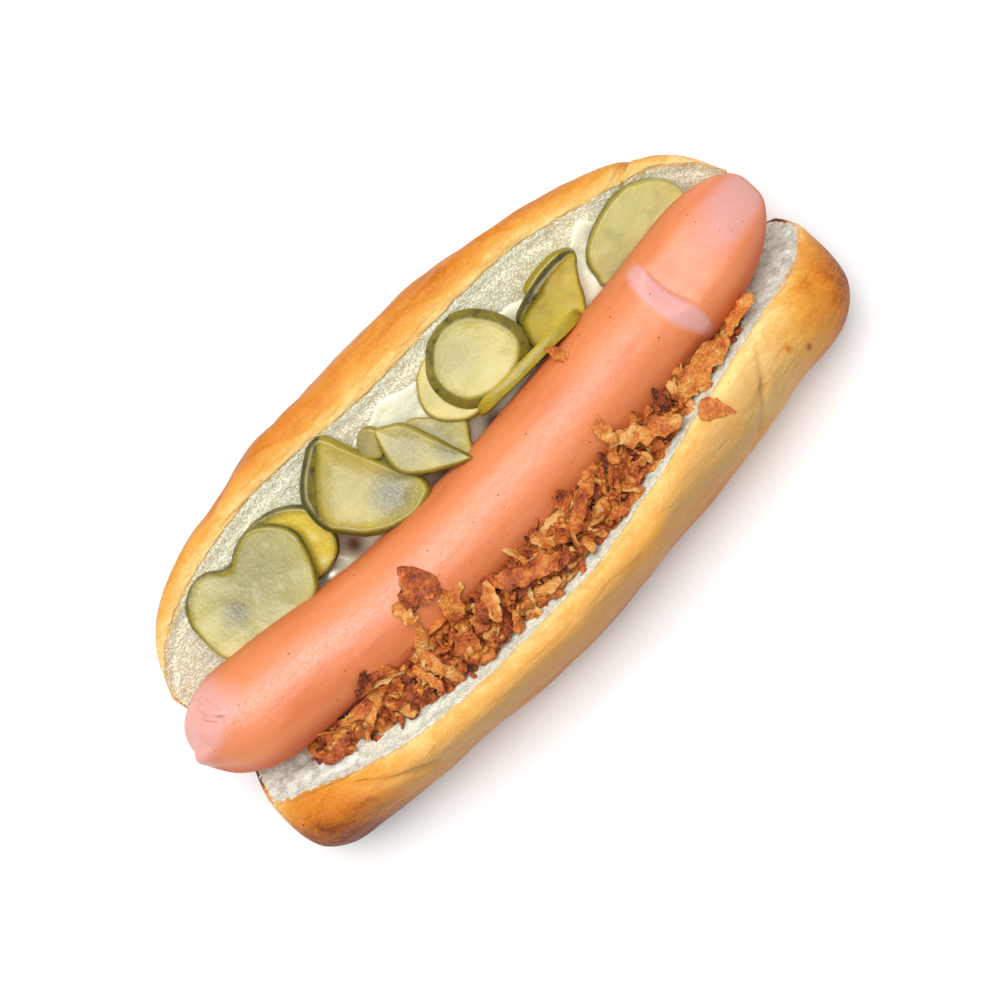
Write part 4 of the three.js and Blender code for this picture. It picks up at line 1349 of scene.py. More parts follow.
        # Painted shade: the onions' half of the crumb is greyed as if shaded by the sausage, more at its lumpy
        # ends; its pores are darkened too.
        shaded = np.where(way < 0, mix(0.5, 0.9, lumpy), 0.0)
        hollow = np.clip(0.5 * coarse * coarse + 0.3 * fine * fine, 0, 1) * fade + shaded
        return crumb[..., 2] - (depth + lip) * fade, hollow

    def bake(self, crust: np.ndarray, outward: np.ndarray, along: np.ndarray, way: np.ndarray, w: np.ndarray,
             uneven: Unevenness) -> np.ndarray:
        """How brown the crust is: pale beside the rim and at its tips, browner outwards and towards most ends,
        patchy, with small dark pits, and with painted shade underneath and in creases.

        Args:
            crust: the crust's points.
            outward: their distance from the rim in mm.
            along: -1 to 1 along the bun.
            way: 1 on the pickles' half and -1 on the onions'.
            w: the way round the section.
            uneven: the noise that varies it.

        Returns:
            The bake, from 0 to darkest.
        """

        def own(name: str) -> np.ndarray:
            """Each half's own number of that name."""
            return np.where(way > 0, *(getattr(self.bakes[half], name) for half in Half))

        most = own("most") * np.clip(outward / own("reach"), 0, 1) ** own("power")
        left_end = ramp(-0.6, -0.95, along) * own("left_end")
        right_end = ramp(0.78, 1.0, along) * own("right_end") - own("gap") * bell(along - 0.62, 0.15)
        # Painted shade: the crust darkens towards its underside.
        under = ramp(0.78, 0.54, w) * own("under")
        # Painted shade: the crust darkens in its creases.
        pressed = 0.12 * ramp(0.6, 1.6, self.sink(crust[..., 0], way, w))
        patches = 0.12 * uneven.layered(crust * [0.5, 1, 1], 13.0, 4) * ramp(0, 5, outward)
        for pit in self.pits:
            patches = patches + 0.6 * bell(away(crust[..., 0], crust[..., 1], pit), self.pit_radius)
        tips = 1 - 0.55 * ramp(0.93, 0.99, np.abs(along)) * ramp(0.7, 0.95, w)
        return np.clip((most + left_end + right_end + under + pressed) * tips + patches, 0, self.darkest)


# ---- pickle slices ----------------------------------------------------------------------------------------

Point = tuple[float, float, float]


@dataclass(frozen=True)
class Outline:
    """A thin wavy disc in mm: its centre, the points of its rim, how it curls and how far its peel slopes."""

    centre: Point
    rim: tuple[Point, ...]
    curl: float = 2.0
    bevel: float = 0.2
    thickness: float = 2.4


@dataclass(frozen=True)
class Slice:
    """A pickle slice and its looks. The peel's width in mm is given by direction, in degrees from +X towards
    +Y. A murky patch is (dx, dy, radius, strength) from the centre."""

    name: str
    outline: Outline
    flap: Outline | None = None
    peel: tuple[tuple[float, float], ...] = ((0, 0.5), (180, 0.5))
    yellow: float = 0.3
    murk: tuple[tuple[float, float, float, float], ...] = ()


SLICES = (
    Slice(
        "pickle_standing",
        Outline((24, 9.8, 29.5), (
            (9.5, 9.2, 34), (16, 8.6, 36.5), (24.5, 8.4, 37.2), (32.5, 8.6, 36.5), (38.5, 9, 34.5),
            (40.5, 9.6, 30), (38, 10.2, 25.5), (32, 10.6, 22.8), (24, 10.8, 22), (16, 10.6, 23),
            (10, 10.2, 26), (8, 9.8, 30.5),
        ), thickness=3.0),
        peel=((0, 0.04), (180, 0.04)), yellow=1.0,
    ),
    Slice(
        "pickle_folded",
        Outline((-7, 12, 37), (
            (-11, 22.5, 37.5), (-9, 21.5, 38), (-5.5, 19, 38.5), (-2.5, 12, 38), (-1, 7, 37.5), (0.3, 2, 37),
            (-1.5, 2.5, 37), (-5.5, 4.5, 37), (-8.5, 6, 37), (-13, 10, 37), (-14, 13, 37.5),
            (-12.5, 19.5, 37.5),
        ), bevel=0.5),
        flap=Outline((-14, 20.5, 35.6), (
            (-12, 24.5, 37.3), (-10, 22, 37.5), (-11.5, 19.5, 36), (-13.5, 17, 34.5), (-17, 20.5, 34),
            (-15, 24, 36),
        ), bevel=0.3),
        peel=((0, 0.1), (90, 0.1), (180, 0.25), (225, 0.4), (300, 0.25)), yellow=0.55,
        # The broad first patch also darkens this slice as painted shade, since it faces the light more than
        # the others.
        murk=((-2, 2, 8, 0.65), (5, -5, 4.5, 0.9)),
    ),
    Slice(
        "pickle_saddle",
        Outline((-55, 17, 32), (
            (-67.5, 27, 31.5), (-64, 28.5, 32), (-61, 28, 32.5), (-57, 25.3, 33), (-54, 25.3, 33.8),
            (-50, 26.7, 34.8), (-46, 27, 35.5), (-43, 25.2, 36), (-40.5, 22.5, 36), (-39, 19, 36),
            (-39.5, 15.5, 35.5), (-41, 11.5, 34.5), (-44.5, 6.5, 33.5), (-49, 5, 32), (-55.5, 4.8, 31),
            (-62, 5.5, 30), (-68.5, 7.8, 29), (-71.5, 11.5, 29), (-72, 16.5, 29.5), (-71.5, 22, 30),
            (-69.7, 25.5, 31),
        ), bevel=0.5),
        peel=((0, 0.35), (50, 0.7), (90, 1.5), (150, 1.8), (175, 0.8), (200, 0.15), (320, 0.2)), yellow=0.12,
        murk=((-6.5, -1, 4.2, 1.0), (3, 2, 15, 0.6)),
    ),
    Slice(
        "pickle_curled",
        Outline((-24, 16, 33), (
            (-23, 30.5, 37.6), (-20.5, 30, 37.8), (-17.5, 23.5, 36.6), (-15, 18, 34.8), (-13, 13, 34),
            (-10.5, 7.5, 34), (-11, 4.5, 34.8), (-12.5, 3.5, 35), (-17, 2.5, 34.6), (-24.5, 4.5, 34),
            (-29, 7.5, 34), (-31.5, 10.5, 34), (-34, 14, 34.5), (-34.5, 17, 35.5), (-34, 20, 36.5),
            (-33, 23, 37), (-30, 26, 37.4), (-26.5, 28.6, 37.6),
        ), curl=3.4, bevel=0.4),
        peel=((0, 0.1), (76, 0.1), (88, 2.4), (135, 3.3), (170, 1.4), (195, 0.45), (280, 0.3), (330, 0.2)),
        yellow=0.6, murk=((6, -6, 7, 1.0), (0, 3, 12, 0.4)),
    ),
    Slice(
        "pickle_ring",
        Outline((16.5, 18.3, 34.5), (
            (4.3, 18.5, 35), (5.3, 22.5, 35.5), (8, 26, 36), (11.5, 28.6, 36.5), (15, 29.5, 37),
            (18.8, 29.2, 37.2), (23, 27, 37.5), (26, 23.5, 37), (28, 19, 37), (28.5, 15, 36.5),
            (27.5, 12, 36), (25, 9.5, 35), (19.5, 7.5, 34.5), (14.5, 7.5, 34), (10.5, 8.8, 34),
            (7, 11, 34.5), (5, 14.5, 35),
        ), bevel=2.3),
        peel=((0, 2.4), (90, 2.2), (180, 2.2), (270, 2.0)), yellow=0.4, murk=((-3, 3, 7, 0.4),),
    ),
    Slice(
        "pickle_tucked",
        Outline((37.5, 15.5, 31.5), (
            (29, 18, 33.5), (32, 19, 35), (35, 19.6, 36.2), (39.5, 20.2, 37), (44.5, 20.5, 37),
            (47.5, 20.2, 36.4), (48.8, 19.2, 35.8), (47.5, 17.5, 34.6), (45.5, 14.5, 32.5),
            (43.2, 10.5, 29.5), (40.5, 8, 27.6), (33.5, 8.8, 26.5), (27.5, 11.2, 27.4), (27.4, 15, 30.8),
        ), bevel=0.3),
        peel=((0, 0.2), (50, 0.8), (90, 1.8), (160, 1.8), (200, 0.6), (300, 0.1)), yellow=0.6,
    ),
    Slice(
        "pickle_wide",
        Outline((62, 13.5, 29.5), (
            (53, 20, 31), (55.5, 21, 32), (60, 22.2, 33), (64, 22.6, 33.5), (67.5, 22.3, 33.5),
            (70.5, 21, 33.2), (73.5, 19, 32.5), (75.5, 16.5, 31.5), (76.5, 13.5, 30), (75.5, 9, 28.5),
            (65.5, 7, 26), (56, 7.5, 25.5), (48, 10.5, 26.5), (48.3, 13, 27.5), (48.7, 16, 29),
            (50.5, 18.4, 30),
        ), bevel=0.9),
        peel=((0, 0.1), (60, 0.25), (110, 0.45), (180, 0.5), (230, 0.3), (300, 0.1)), yellow=0.0,
        murk=((-8, -6, 5, 0.7),),
    ),
    Slice(
        "pickle_under",
        Outline((10.5, 18.5, 32), (
            (4, 25, 33), (1.8, 22.5, 33), (0, 19, 32.6), (0, 16, 32.2), (2, 12.5, 32), (5.5, 9.7, 32),
            (9, 9, 31.8), (13.5, 9.5, 31.5), (19.5, 13.5, 31.6), (20, 19, 32), (16.5, 26, 33), (9, 27, 33),
        )),
        peel=((0, 0.1), (180, 0.1)), yellow=0.3,
    ),
    Slice(
        "pickle_pale",
        Outline((-2, 12, 31.4), (
            (-6, 19.2, 32), (-3.5, 19.5, 31.5), (-1, 17.5, 31), (2.5, 14, 30.4), (5.2, 10, 30.8),
            (3.2, 6.5, 32), (0.8, 3, 33.2), (-3.5, 5, 32.5), (-6.5, 9, 32), (-7.5, 14, 32),
        )),
        peel=((0, 0.1), (180, 0.1)), yellow=0.4, murk=((0, 0, 8, 0.6),),
    ),
    Slice(
        "pickle_yellow",
        Outline((-43.5, 18.5, 30.2), (
            (-53, 27, 31), (-48, 28.4, 32), (-43.5, 28, 32.6), (-38.5, 26.3, 33), (-34.5, 23, 33),
            (-32.3, 18.5, 32.5), (-33.3, 12.8, 31.5), (-35.5, 9.7, 30.5), (-38.5, 8.5, 29.5),
            (-43, 8.5, 28.5), (-49, 10, 28), (-55, 16, 28.5), (-56, 23.5, 30),
        ), bevel=0.4),
        peel=((0, 0.5), (60, 1.2), (100, 1.8), (170, 1.2), (300, 0.4)), yellow=0.95,
    ),
    Slice(
        "pickle_crescent",
        Outline((42.5, 19.8, 31.5), (
            (34.5, 21.2, 32.5), (38, 22.4, 33.6), (42, 22.8, 34), (46, 22.4, 34), (49, 20.5, 33.3),
            (47.5, 17.5, 32), (42, 17, 30), (36, 18, 30),
        )),
        peel=((0, 0.12), (180, 0.12)), yellow=1.0,
    ),
)


@dataclass
class Pickles:
    """The pickle slices: thin wavy discs with rounded edges."""

    sides: int = 120
    inner_rings: int = 22
    edge_steps: int = 12
    curve_steps: int = 40
    edge_rounding: float = 0.55
    even_rings: float = 0.65

    def around(self, points: Sequence[Point]) -> np.ndarray:
        """Evenly spaced points of the smooth closed curve through the given ones: a Catmull-Rom curve whose
        knots are spaced by the fourth root of each chord's squared length, cut at equal arc lengths.

        Args:
            points: the rim's points, in order.

        Returns:
            One point for each side.
        """
        given = np.array(points, float)
        p0, p1, p2, p3 = (np.roll(given, shift, axis=0) for shift in (1, 0, -1, -2))
        pairs = ((p0, p1), (p1, p2), (p2, p3))
        before, here, after = (np.sum((b - a) ** 2, axis=1)[:, None, None] ** 0.25 for a, b in pairs)
        p0, p1, p2, p3 = (p[:, None, :] for p in (p0, p1, p2, p3))
        start = ((p1 - p0) / before - (p2 - p0) / (before + here) + (p2 - p1) / here) * here
        end = ((p2 - p1) / here - (p3 - p1) / (here + after) + (p3 - p2) / after) * here
        t = np.linspace(0, 1, self.curve_steps, endpoint=False)[None, :, None]
        square, cube = 3 * (p2 - p1) - 2 * start - end, 2 * (p1 - p2) + start + end
        curve = (p1 + start * t + square * t**2 + cube * t**3).reshape(-1, 3)
        closed = np.vstack([curve, curve[:1]])
        run = np.concatenate([[0.0], np.cumsum(np.linalg.norm(np.diff(closed, axis=0), axis=1))])
        wanted = np.arange(self.sides) / self.sides * run[-1]
        return np.stack([np.interp(wanted, run, closed[:, axis]) for axis in range(3)], axis=-1)

    def shell(self, slice_: Slice, outline: Outline, uneven: Unevenness) -> Shell:
        """One disc, closed over both faces and its rounded edge.

        The middle of its thickness is centre + flat * r + up * height * r ** curl, where each rim point is
        flat + up * height from the centre. A ring goes out over the top face, round the edge and back under.

        Args:
            slice_: the slice, for its looks.
            outline: the disc's form.
            uneven: the noise that roughens it.

        Returns:
            The closed shell, with marks peel (mm inside the peel's inner line), line, yellow and murk.
        """
        centre = np.array(outline.centre, float)
        spokes = self.around(outline.rim) - centre
        up = np.cross(spokes, np.roll(spokes, -1, axis=0)).sum(axis=0)
        up = up / np.linalg.norm(up) * (1 if up[2] > 0 else -1)
        height = spokes @ up
        flat = spokes - height[:, None] * up
        length = np.linalg.norm(spokes, axis=1)
        half = outline.thickness / 2
        rounding = self.edge_rounding * half
        turn = np.linspace(np.pi / 2, -np.pi / 2, self.edge_steps)
        edge_inset = outline.bevel * (1 + np.sin(turn)) / 2 + rounding * (1 - np.cos(turn))
        edge_height = half * np.sign(np.sin(turn)) * np.abs(np.sin(turn)) ** 0.8
        even = np.linspace(0, 1, self.inner_rings + 2)[1:-1]
        share = mix(np.sin(even * np.pi / 2), even, self.even_rings)
        ones = np.ones_like(share)
        ratio = np.concatenate([share, np.ones_like(turn), share[::-1]])
        inset = np.concatenate([edge_inset[0] * ones, edge_inset, edge_inset[-1] * ones])
        rise = np.concatenate([half * ones, edge_height, -half * ones])
        ring = ratio[:, None] * (1 - inset[:, None] / length[None, :])

        def middle(r: np.ndarray) -> np.ndarray:
            """The middle of the thickness at ring r."""
            return centre + flat * r[..., None] + up * (height * r**outline.curl)[..., None]

        here = middle(ring)
        outwards = middle(ring + 0.02) - middle(np.maximum(ring - 0.02, 0.0))
        round_ = np.roll(here, -1, axis=1) - np.roll(here, 1, axis=1)
        normal = np.cross(outwards, round_)
        normal = normal / np.maximum(np.linalg.norm(normal, axis=-1, keepdims=True), 1e-9)
        normal = normal * np.sign((normal @ up)[..., None] + 1e-9)
        wave = 0.16 * uneven.layered(here, 6.0, 2) + 0.07 * uneven.layered(here + 9.0, 1.8, 2)
        points = here + normal * (rise[:, None] + wave)[..., None]
        warts = 0.16 * uneven.layered(here + 23.0, 2.2, 2) * ramp(0.9, 1.0, ring)
        outdir = outwards / np.maximum(np.linalg.norm(outwards, axis=-1, keepdims=True), 1e-9)
        points = points + outdir * warts[..., None]

        poles = np.array([centre + up * half, centre - up * half])
        marks = self.marks(slice_, points, ring, length, centre, rise / half)
        return Shell(np.concatenate([points.reshape(-1, 3), poles]), *tube_faces(*ring.shape), marks)

    def marks(self, slice_: Slice, points: np.ndarray, ring: np.ndarray, length: np.ndarray,
              centre: np.ndarray, side: np.ndarray) -> dict[str, np.ndarray]:
        """The slice's looks on each of its points and both poles.

        Args:
            slice_: the slice.
            points: its points.
            ring: 0 at the centre and 1 at the rim.
            length: each spoke's length in mm.
            centre: the disc's centre.
            side: 1 on the top face, -1 below, between on the edge.

        Returns:
            The marks by name.
        """
        bearing = np.degrees(np.arctan2(points[..., 1] - centre[1], points[..., 0] - centre[0])) % 360
        angles, widths = np.array(slice_.peel, float).T
        width = np.interp(bearing, angles, widths, period=360)
        from_rim = (1 - ring) * length
        on_edge = 0.8 * (1 - np.abs(side))[:, None] * np.clip(width, 0, 1)
        peel = width - from_rim + on_edge - 0.5 * ramp(0.3, 0.0, width)
        across = points - centre
        murk = np.zeros_like(ring)
        for dx, dy, radius, strength in slice_.murk:
            murk = np.maximum(murk, strength * bell(away(across[..., 0], across[..., 1], (dx, dy)), radius))
        yellow = np.full_like(ring, slice_.yellow) + 0.25 * ramp(0.55, 1.0, ring)
        line = ramp(0.6, 0.2, from_rim) * np.clip(2 * width, 0, 1) * ramp(-1.0, -0.2, side)[:, None]
        named = {"peel": peel, "line": line, "yellow": np.clip(yellow, 0, 1), "murk": murk}
        ends = {"peel": -9.0, "line": 0.0, "yellow": slice_.yellow, "murk": float(murk[0].mean())}
        return {name: np.append(values.ravel(), [ends[name]] * 2) for name, values in named.items()}

    def build(self, uneven: Unevenness, material: bpy.types.Material) -> None:
        """Makes every slice.

        Args:
            uneven: the noise that roughens them.
            material: the pickle material.
        """
        for slice_ in SLICES:
            shell = self.shell(slice_, slice_.outline, uneven)
            if slice_.flap is not None:
                shell = joined([shell, self.shell(slice_, slice_.flap, uneven)])
            make_piece(slice_.name + "_slice", shell, [slice_.name], material)


# ---- fillings that lie in the slice -----------------------------------------------------------------------


@dataclass
class Filling:
    """A filling that rests on the crumb between two curves, rounded off along its edges."""

    bun: Bun
    ends: tuple[float, float]
    low: Curve | None
    high: Curve | None
    inset: float
    rows: int
    columns: int

    def limits(self, x: np.ndarray) -> tuple[np.ndarray, np.ndarray]:
        """The filling's two edges across the bun at x: its own curve and the sausage's side."""
        sausage = self.bun.sausage
        low = self.low(x) if self.low else sausage.across(x) + sausage.radius - self.inset
        high = self.high(x) if self.high else sausage.across(x) - sausage.radius + self.inset
        return low, high

    def fullness(self, x: np.ndarray, across: np.ndarray) -> np.ndarray:
        """1 over most of the filling, rounding to 0 at its ends and edges: the square root of one less a high
        power of the distance from its middle."""
        along = 2 * (x - self.ends[0]) / (self.ends[1] - self.ends[0]) - 1
        ends, sides = np.maximum(0, 1 - np.abs(along) ** 24), np.maximum(0, 1 - np.abs(across) ** 8)
        return np.sqrt(ends) * np.sqrt(sides)


@dataclass
class Dressing(Filling):
    """The pale dressing under the pickles, from the sausage's side up the crumb, with brown bits beside the
    sausage painted dark with the shadow they lie in.
    """

    soaked: tuple[tuple[float, float], ...] = ((-32.5, 9.5), (-5.0, 8.0), (9.5, 6.5))
    dollop: tuple[float, float] = (-40.6, 6.8)
    dollop_height: float = 8.0
    level: float = 24.0
    slope: float = 0.35
    thinnest: float = 1.6
    sunk: float = 0.6

    def shell(self, uneven: Unevenness) -> Shell:
        """The dressing as an upper sheet over a lower one that lies on the crumb; the edge wanders.

        Args:
            uneven: the noise that makes its folds.

        Returns:
            The closed shell, with the mark soaked.
        """
        t = np.linspace(0, 1, self.rows)
        xs = mix(self.ends[0], self.ends[1], 0.5 - 0.5 * np.cos(np.pi * t))
        x, v = np.meshgrid(xs, np.linspace(0, 1, self.columns), indexing="ij")
        low, high = self.limits(x)
        wander = 1.2 * uneven.layered(np.stack([x, 0 * x, 0 * x], -1), 6.0, 3)
        y = mix(low, high + wander, v)
        floor = self.bun.crumb_height(x, y) - self.sunk
        waves = 1.2 * np.sin(x * 0.17) + 0.8 * np.sin(x * 0.31 + y * 0.4)
        flat = np.stack([x, y, 0 * x], -1)
        dollop = self.dollop_height * bell(away(x, y, self.dollop), 2.6)
        top = self.level + self.slope * (y - 10) + waves + uneven.layered(flat, 7.0, 3) + dollop
        across = np.abs(2 * v - 1)
        thin = self.thinnest + 0.7 * uneven.layered(flat + 40, 4.0, 2)
        upper = floor + np.maximum(thin, top - floor) * self.fullness(x, across)
        shell = between_sheets(np.stack([x, y, upper], -1), np.stack([x, y, floor], -1))
        # Painted shadow: dark brown patches where bits lie in shade beside the sausage.
        soaked = sum(bell(away(x, y, place), 3.6) for place in self.soaked)
        shell.marks["soaked"] = np.tile(np.clip(soaked, 0, 1).ravel(), 2)
        return shell


def between_sheets(upper: np.ndarray, lower: np.ndarray) -> Shell:
    """A closed shell between two grids of points that meet along all four edges.

    Args:
        upper: the upper sheet's points.
        lower: the lower sheet's points, with the same edges.

    Returns:
        The shell.
    """
    rows, columns = upper.shape[:2]
    count = rows * columns
    number = np.arange(2 * count)
    edge = np.zeros((rows, columns), bool)
    edge[[0, -1], :] = True
    edge[:, [0, -1]] = True
    shared = np.flatnonzero(edge.ravel())
    number[count + shared] = shared
    facing, under = grid_quads(rows, columns, False), grid_quads(rows, columns, False, count)[:, ::-1]
    quads = np.concatenate([facing, under])
    points = np.concatenate([upper.reshape(-1, 3), lower.reshape(-1, 3)])
    return Shell(points, number[quads])


# ---- fried onions -----------------------------------------------------------------------------------------


@dataclass
class Flakes:
    """Fried onion flakes, one row of numbers for each: where, how large, how bent and how brown."""

    centre: np.ndarray
    size: np.ndarray
    turn: np.ndarray
    bend: np.ndarray
    curl: np.ndarray
    tone: np.ndarray
    ragged: np.ndarray
    taper: np.ndarray
    rough: float = 1.0
    lengthwise: int = 12
    round_: int = 8

    def shell(self, uneven: Unevenness) -> Shell:
        """Every flake as a flattened, crinkled tube, closed by a pole at each end.

        Along its length s (-1 to 1) the half-width is width / 2 * (1 - |s| ** 3) ** 0.5 * (1 - taper * s),
        with a ragged edge. Across it (a, from -1 to 1) it curls by curl * a * a * width / 4, and it bends by
        bend * (1 - s * s). Crinkles move both faces alike.

        Args:
            uneven: the noise that crinkles them.

        Returns:
            One shell with all of them, with the mark tone.
        """
        count = len(self.centre)
        s = np.linspace(-0.97, 0.97, self.lengthwise)[None, :, None]
        c = 2 * np.pi * (np.arange(self.round_) + 0.5) / self.round_
        a = (np.sign(np.cos(c)) * np.abs(np.cos(c)) ** 0.7)[None, None, :]
        b = np.sin(c)[None, None, :]
        length, width, thick = (self.size[:, axis][:, None, None] for axis in range(3))
        bend, curl, ragged, taper = (
            values[:, None, None] for values in (self.bend, self.curl, self.ragged, self.taper)
        )
        own = np.stack(np.broadcast_arrays(s * 3.1 + ragged, a * 1.3, ragged * 2.3), -1)
        edge = 1 + 0.65 * self.rough * uneven.layered(own, 0.7, 2) * np.abs(a)
        narrowing = np.sqrt(np.maximum(1 - np.abs(s) ** 3, 0.02)) * (1 - taper * s)
        half_width = width / 2 * edge * narrowing
        x = length / 2 * s
        y = a * half_width
        sheet = bend * (1 - s * s) + curl * a * a * width * 0.25
        crinkle_at = np.stack(np.broadcast_arrays(x, y, ragged * 7.0), -1)
        crinkle = 1.25 * self.rough * uneven.layered(crinkle_at, 2.3, 2)
        sway = 0.9 * self.rough * uneven.layered(crinkle_at + 61.0, 2.9, 2)
        z = sheet + crinkle + b * thick / 2 * (1 - 0.6 * a * a)
        local = np.stack(np.broadcast_arrays(x + 0.6 * sway, y + sway, z), -1)
        tips = local[:, [0, -1]].mean(axis=2)
        tips[..., 0] = self.size[:, :1] * [-0.5, 0.5]
        ring = self.lengthwise * self.round_
        local = np.concatenate([local.reshape(count, ring, 3), tips], axis=1)
        placed = np.einsum("fij,fpj->fpi", turned(self.turn), local) + self.centre[:, None, :]
        quads, triangles = tube_faces(self.lengthwise, self.round_)
        base = (np.arange(count) * (ring + 2))[:, None, None]
        relief = np.concatenate([crinkle.reshape(count, ring), np.zeros((count, 2))], axis=1)
        # Painted shade: each flake is darker in the dips of its crinkles and paler on their crests.
        tone = self.tone[:, None] + 0.3 * relief
        return Shell(
            placed.reshape(-1, 3), (quads[None] + base).reshape(-1, 4),
            (triangles[None] + base).reshape(-1, 3), {"tone": tone.ravel()},
        )


def turned(angles: np.ndarray) -> np.ndarray:
    """Rotation matrices: about X, then Y, then Z.

    Args:
        angles: three angles in radians a row.

    Returns:
        One 3 x 3 matrix a row.
    """
    cos, sin = np.cos(angles), np.sin(angles)
    one, zero = np.ones(len(angles)), np.zeros(len(angles))

    def matrix(*entries: np.ndarray) -> np.ndarray:
        """Nine columns of entries as a 3 x 3 matrix a row."""
        return np.stack(entries, -1).reshape(-1, 3, 3)

    about_x = matrix(one, zero, zero, zero, cos[:, 0], -sin[:, 0], zero, sin[:, 0], cos[:, 0])
    about_y = matrix(cos[:, 1], zero, sin[:, 1], zero, one, zero, -sin[:, 1], zero, cos[:, 1])
    about_z = matrix(cos[:, 2], -sin[:, 2], zero, sin[:, 2], cos[:, 2], zero, zero, zero, one)
    return about_z @ about_y @ about_x


@dataclass(frozen=True)
class LaidFlake:
    """A listed flake: where its middle is, how large it is, how it is turned about Z in degrees, how
    brown it is (0 burnt to 1 pale), how high it lies in mm, how it bends, how it is tipped more than what it
    lies on in radians, and how it narrows."""

    x: float
    y: float
    length: float
    width: float
    turn: float
    tone: float
    lift: float = 0.4
    bend: float = 0.4
    tilt: float = 0.0
    taper: float = 0.0


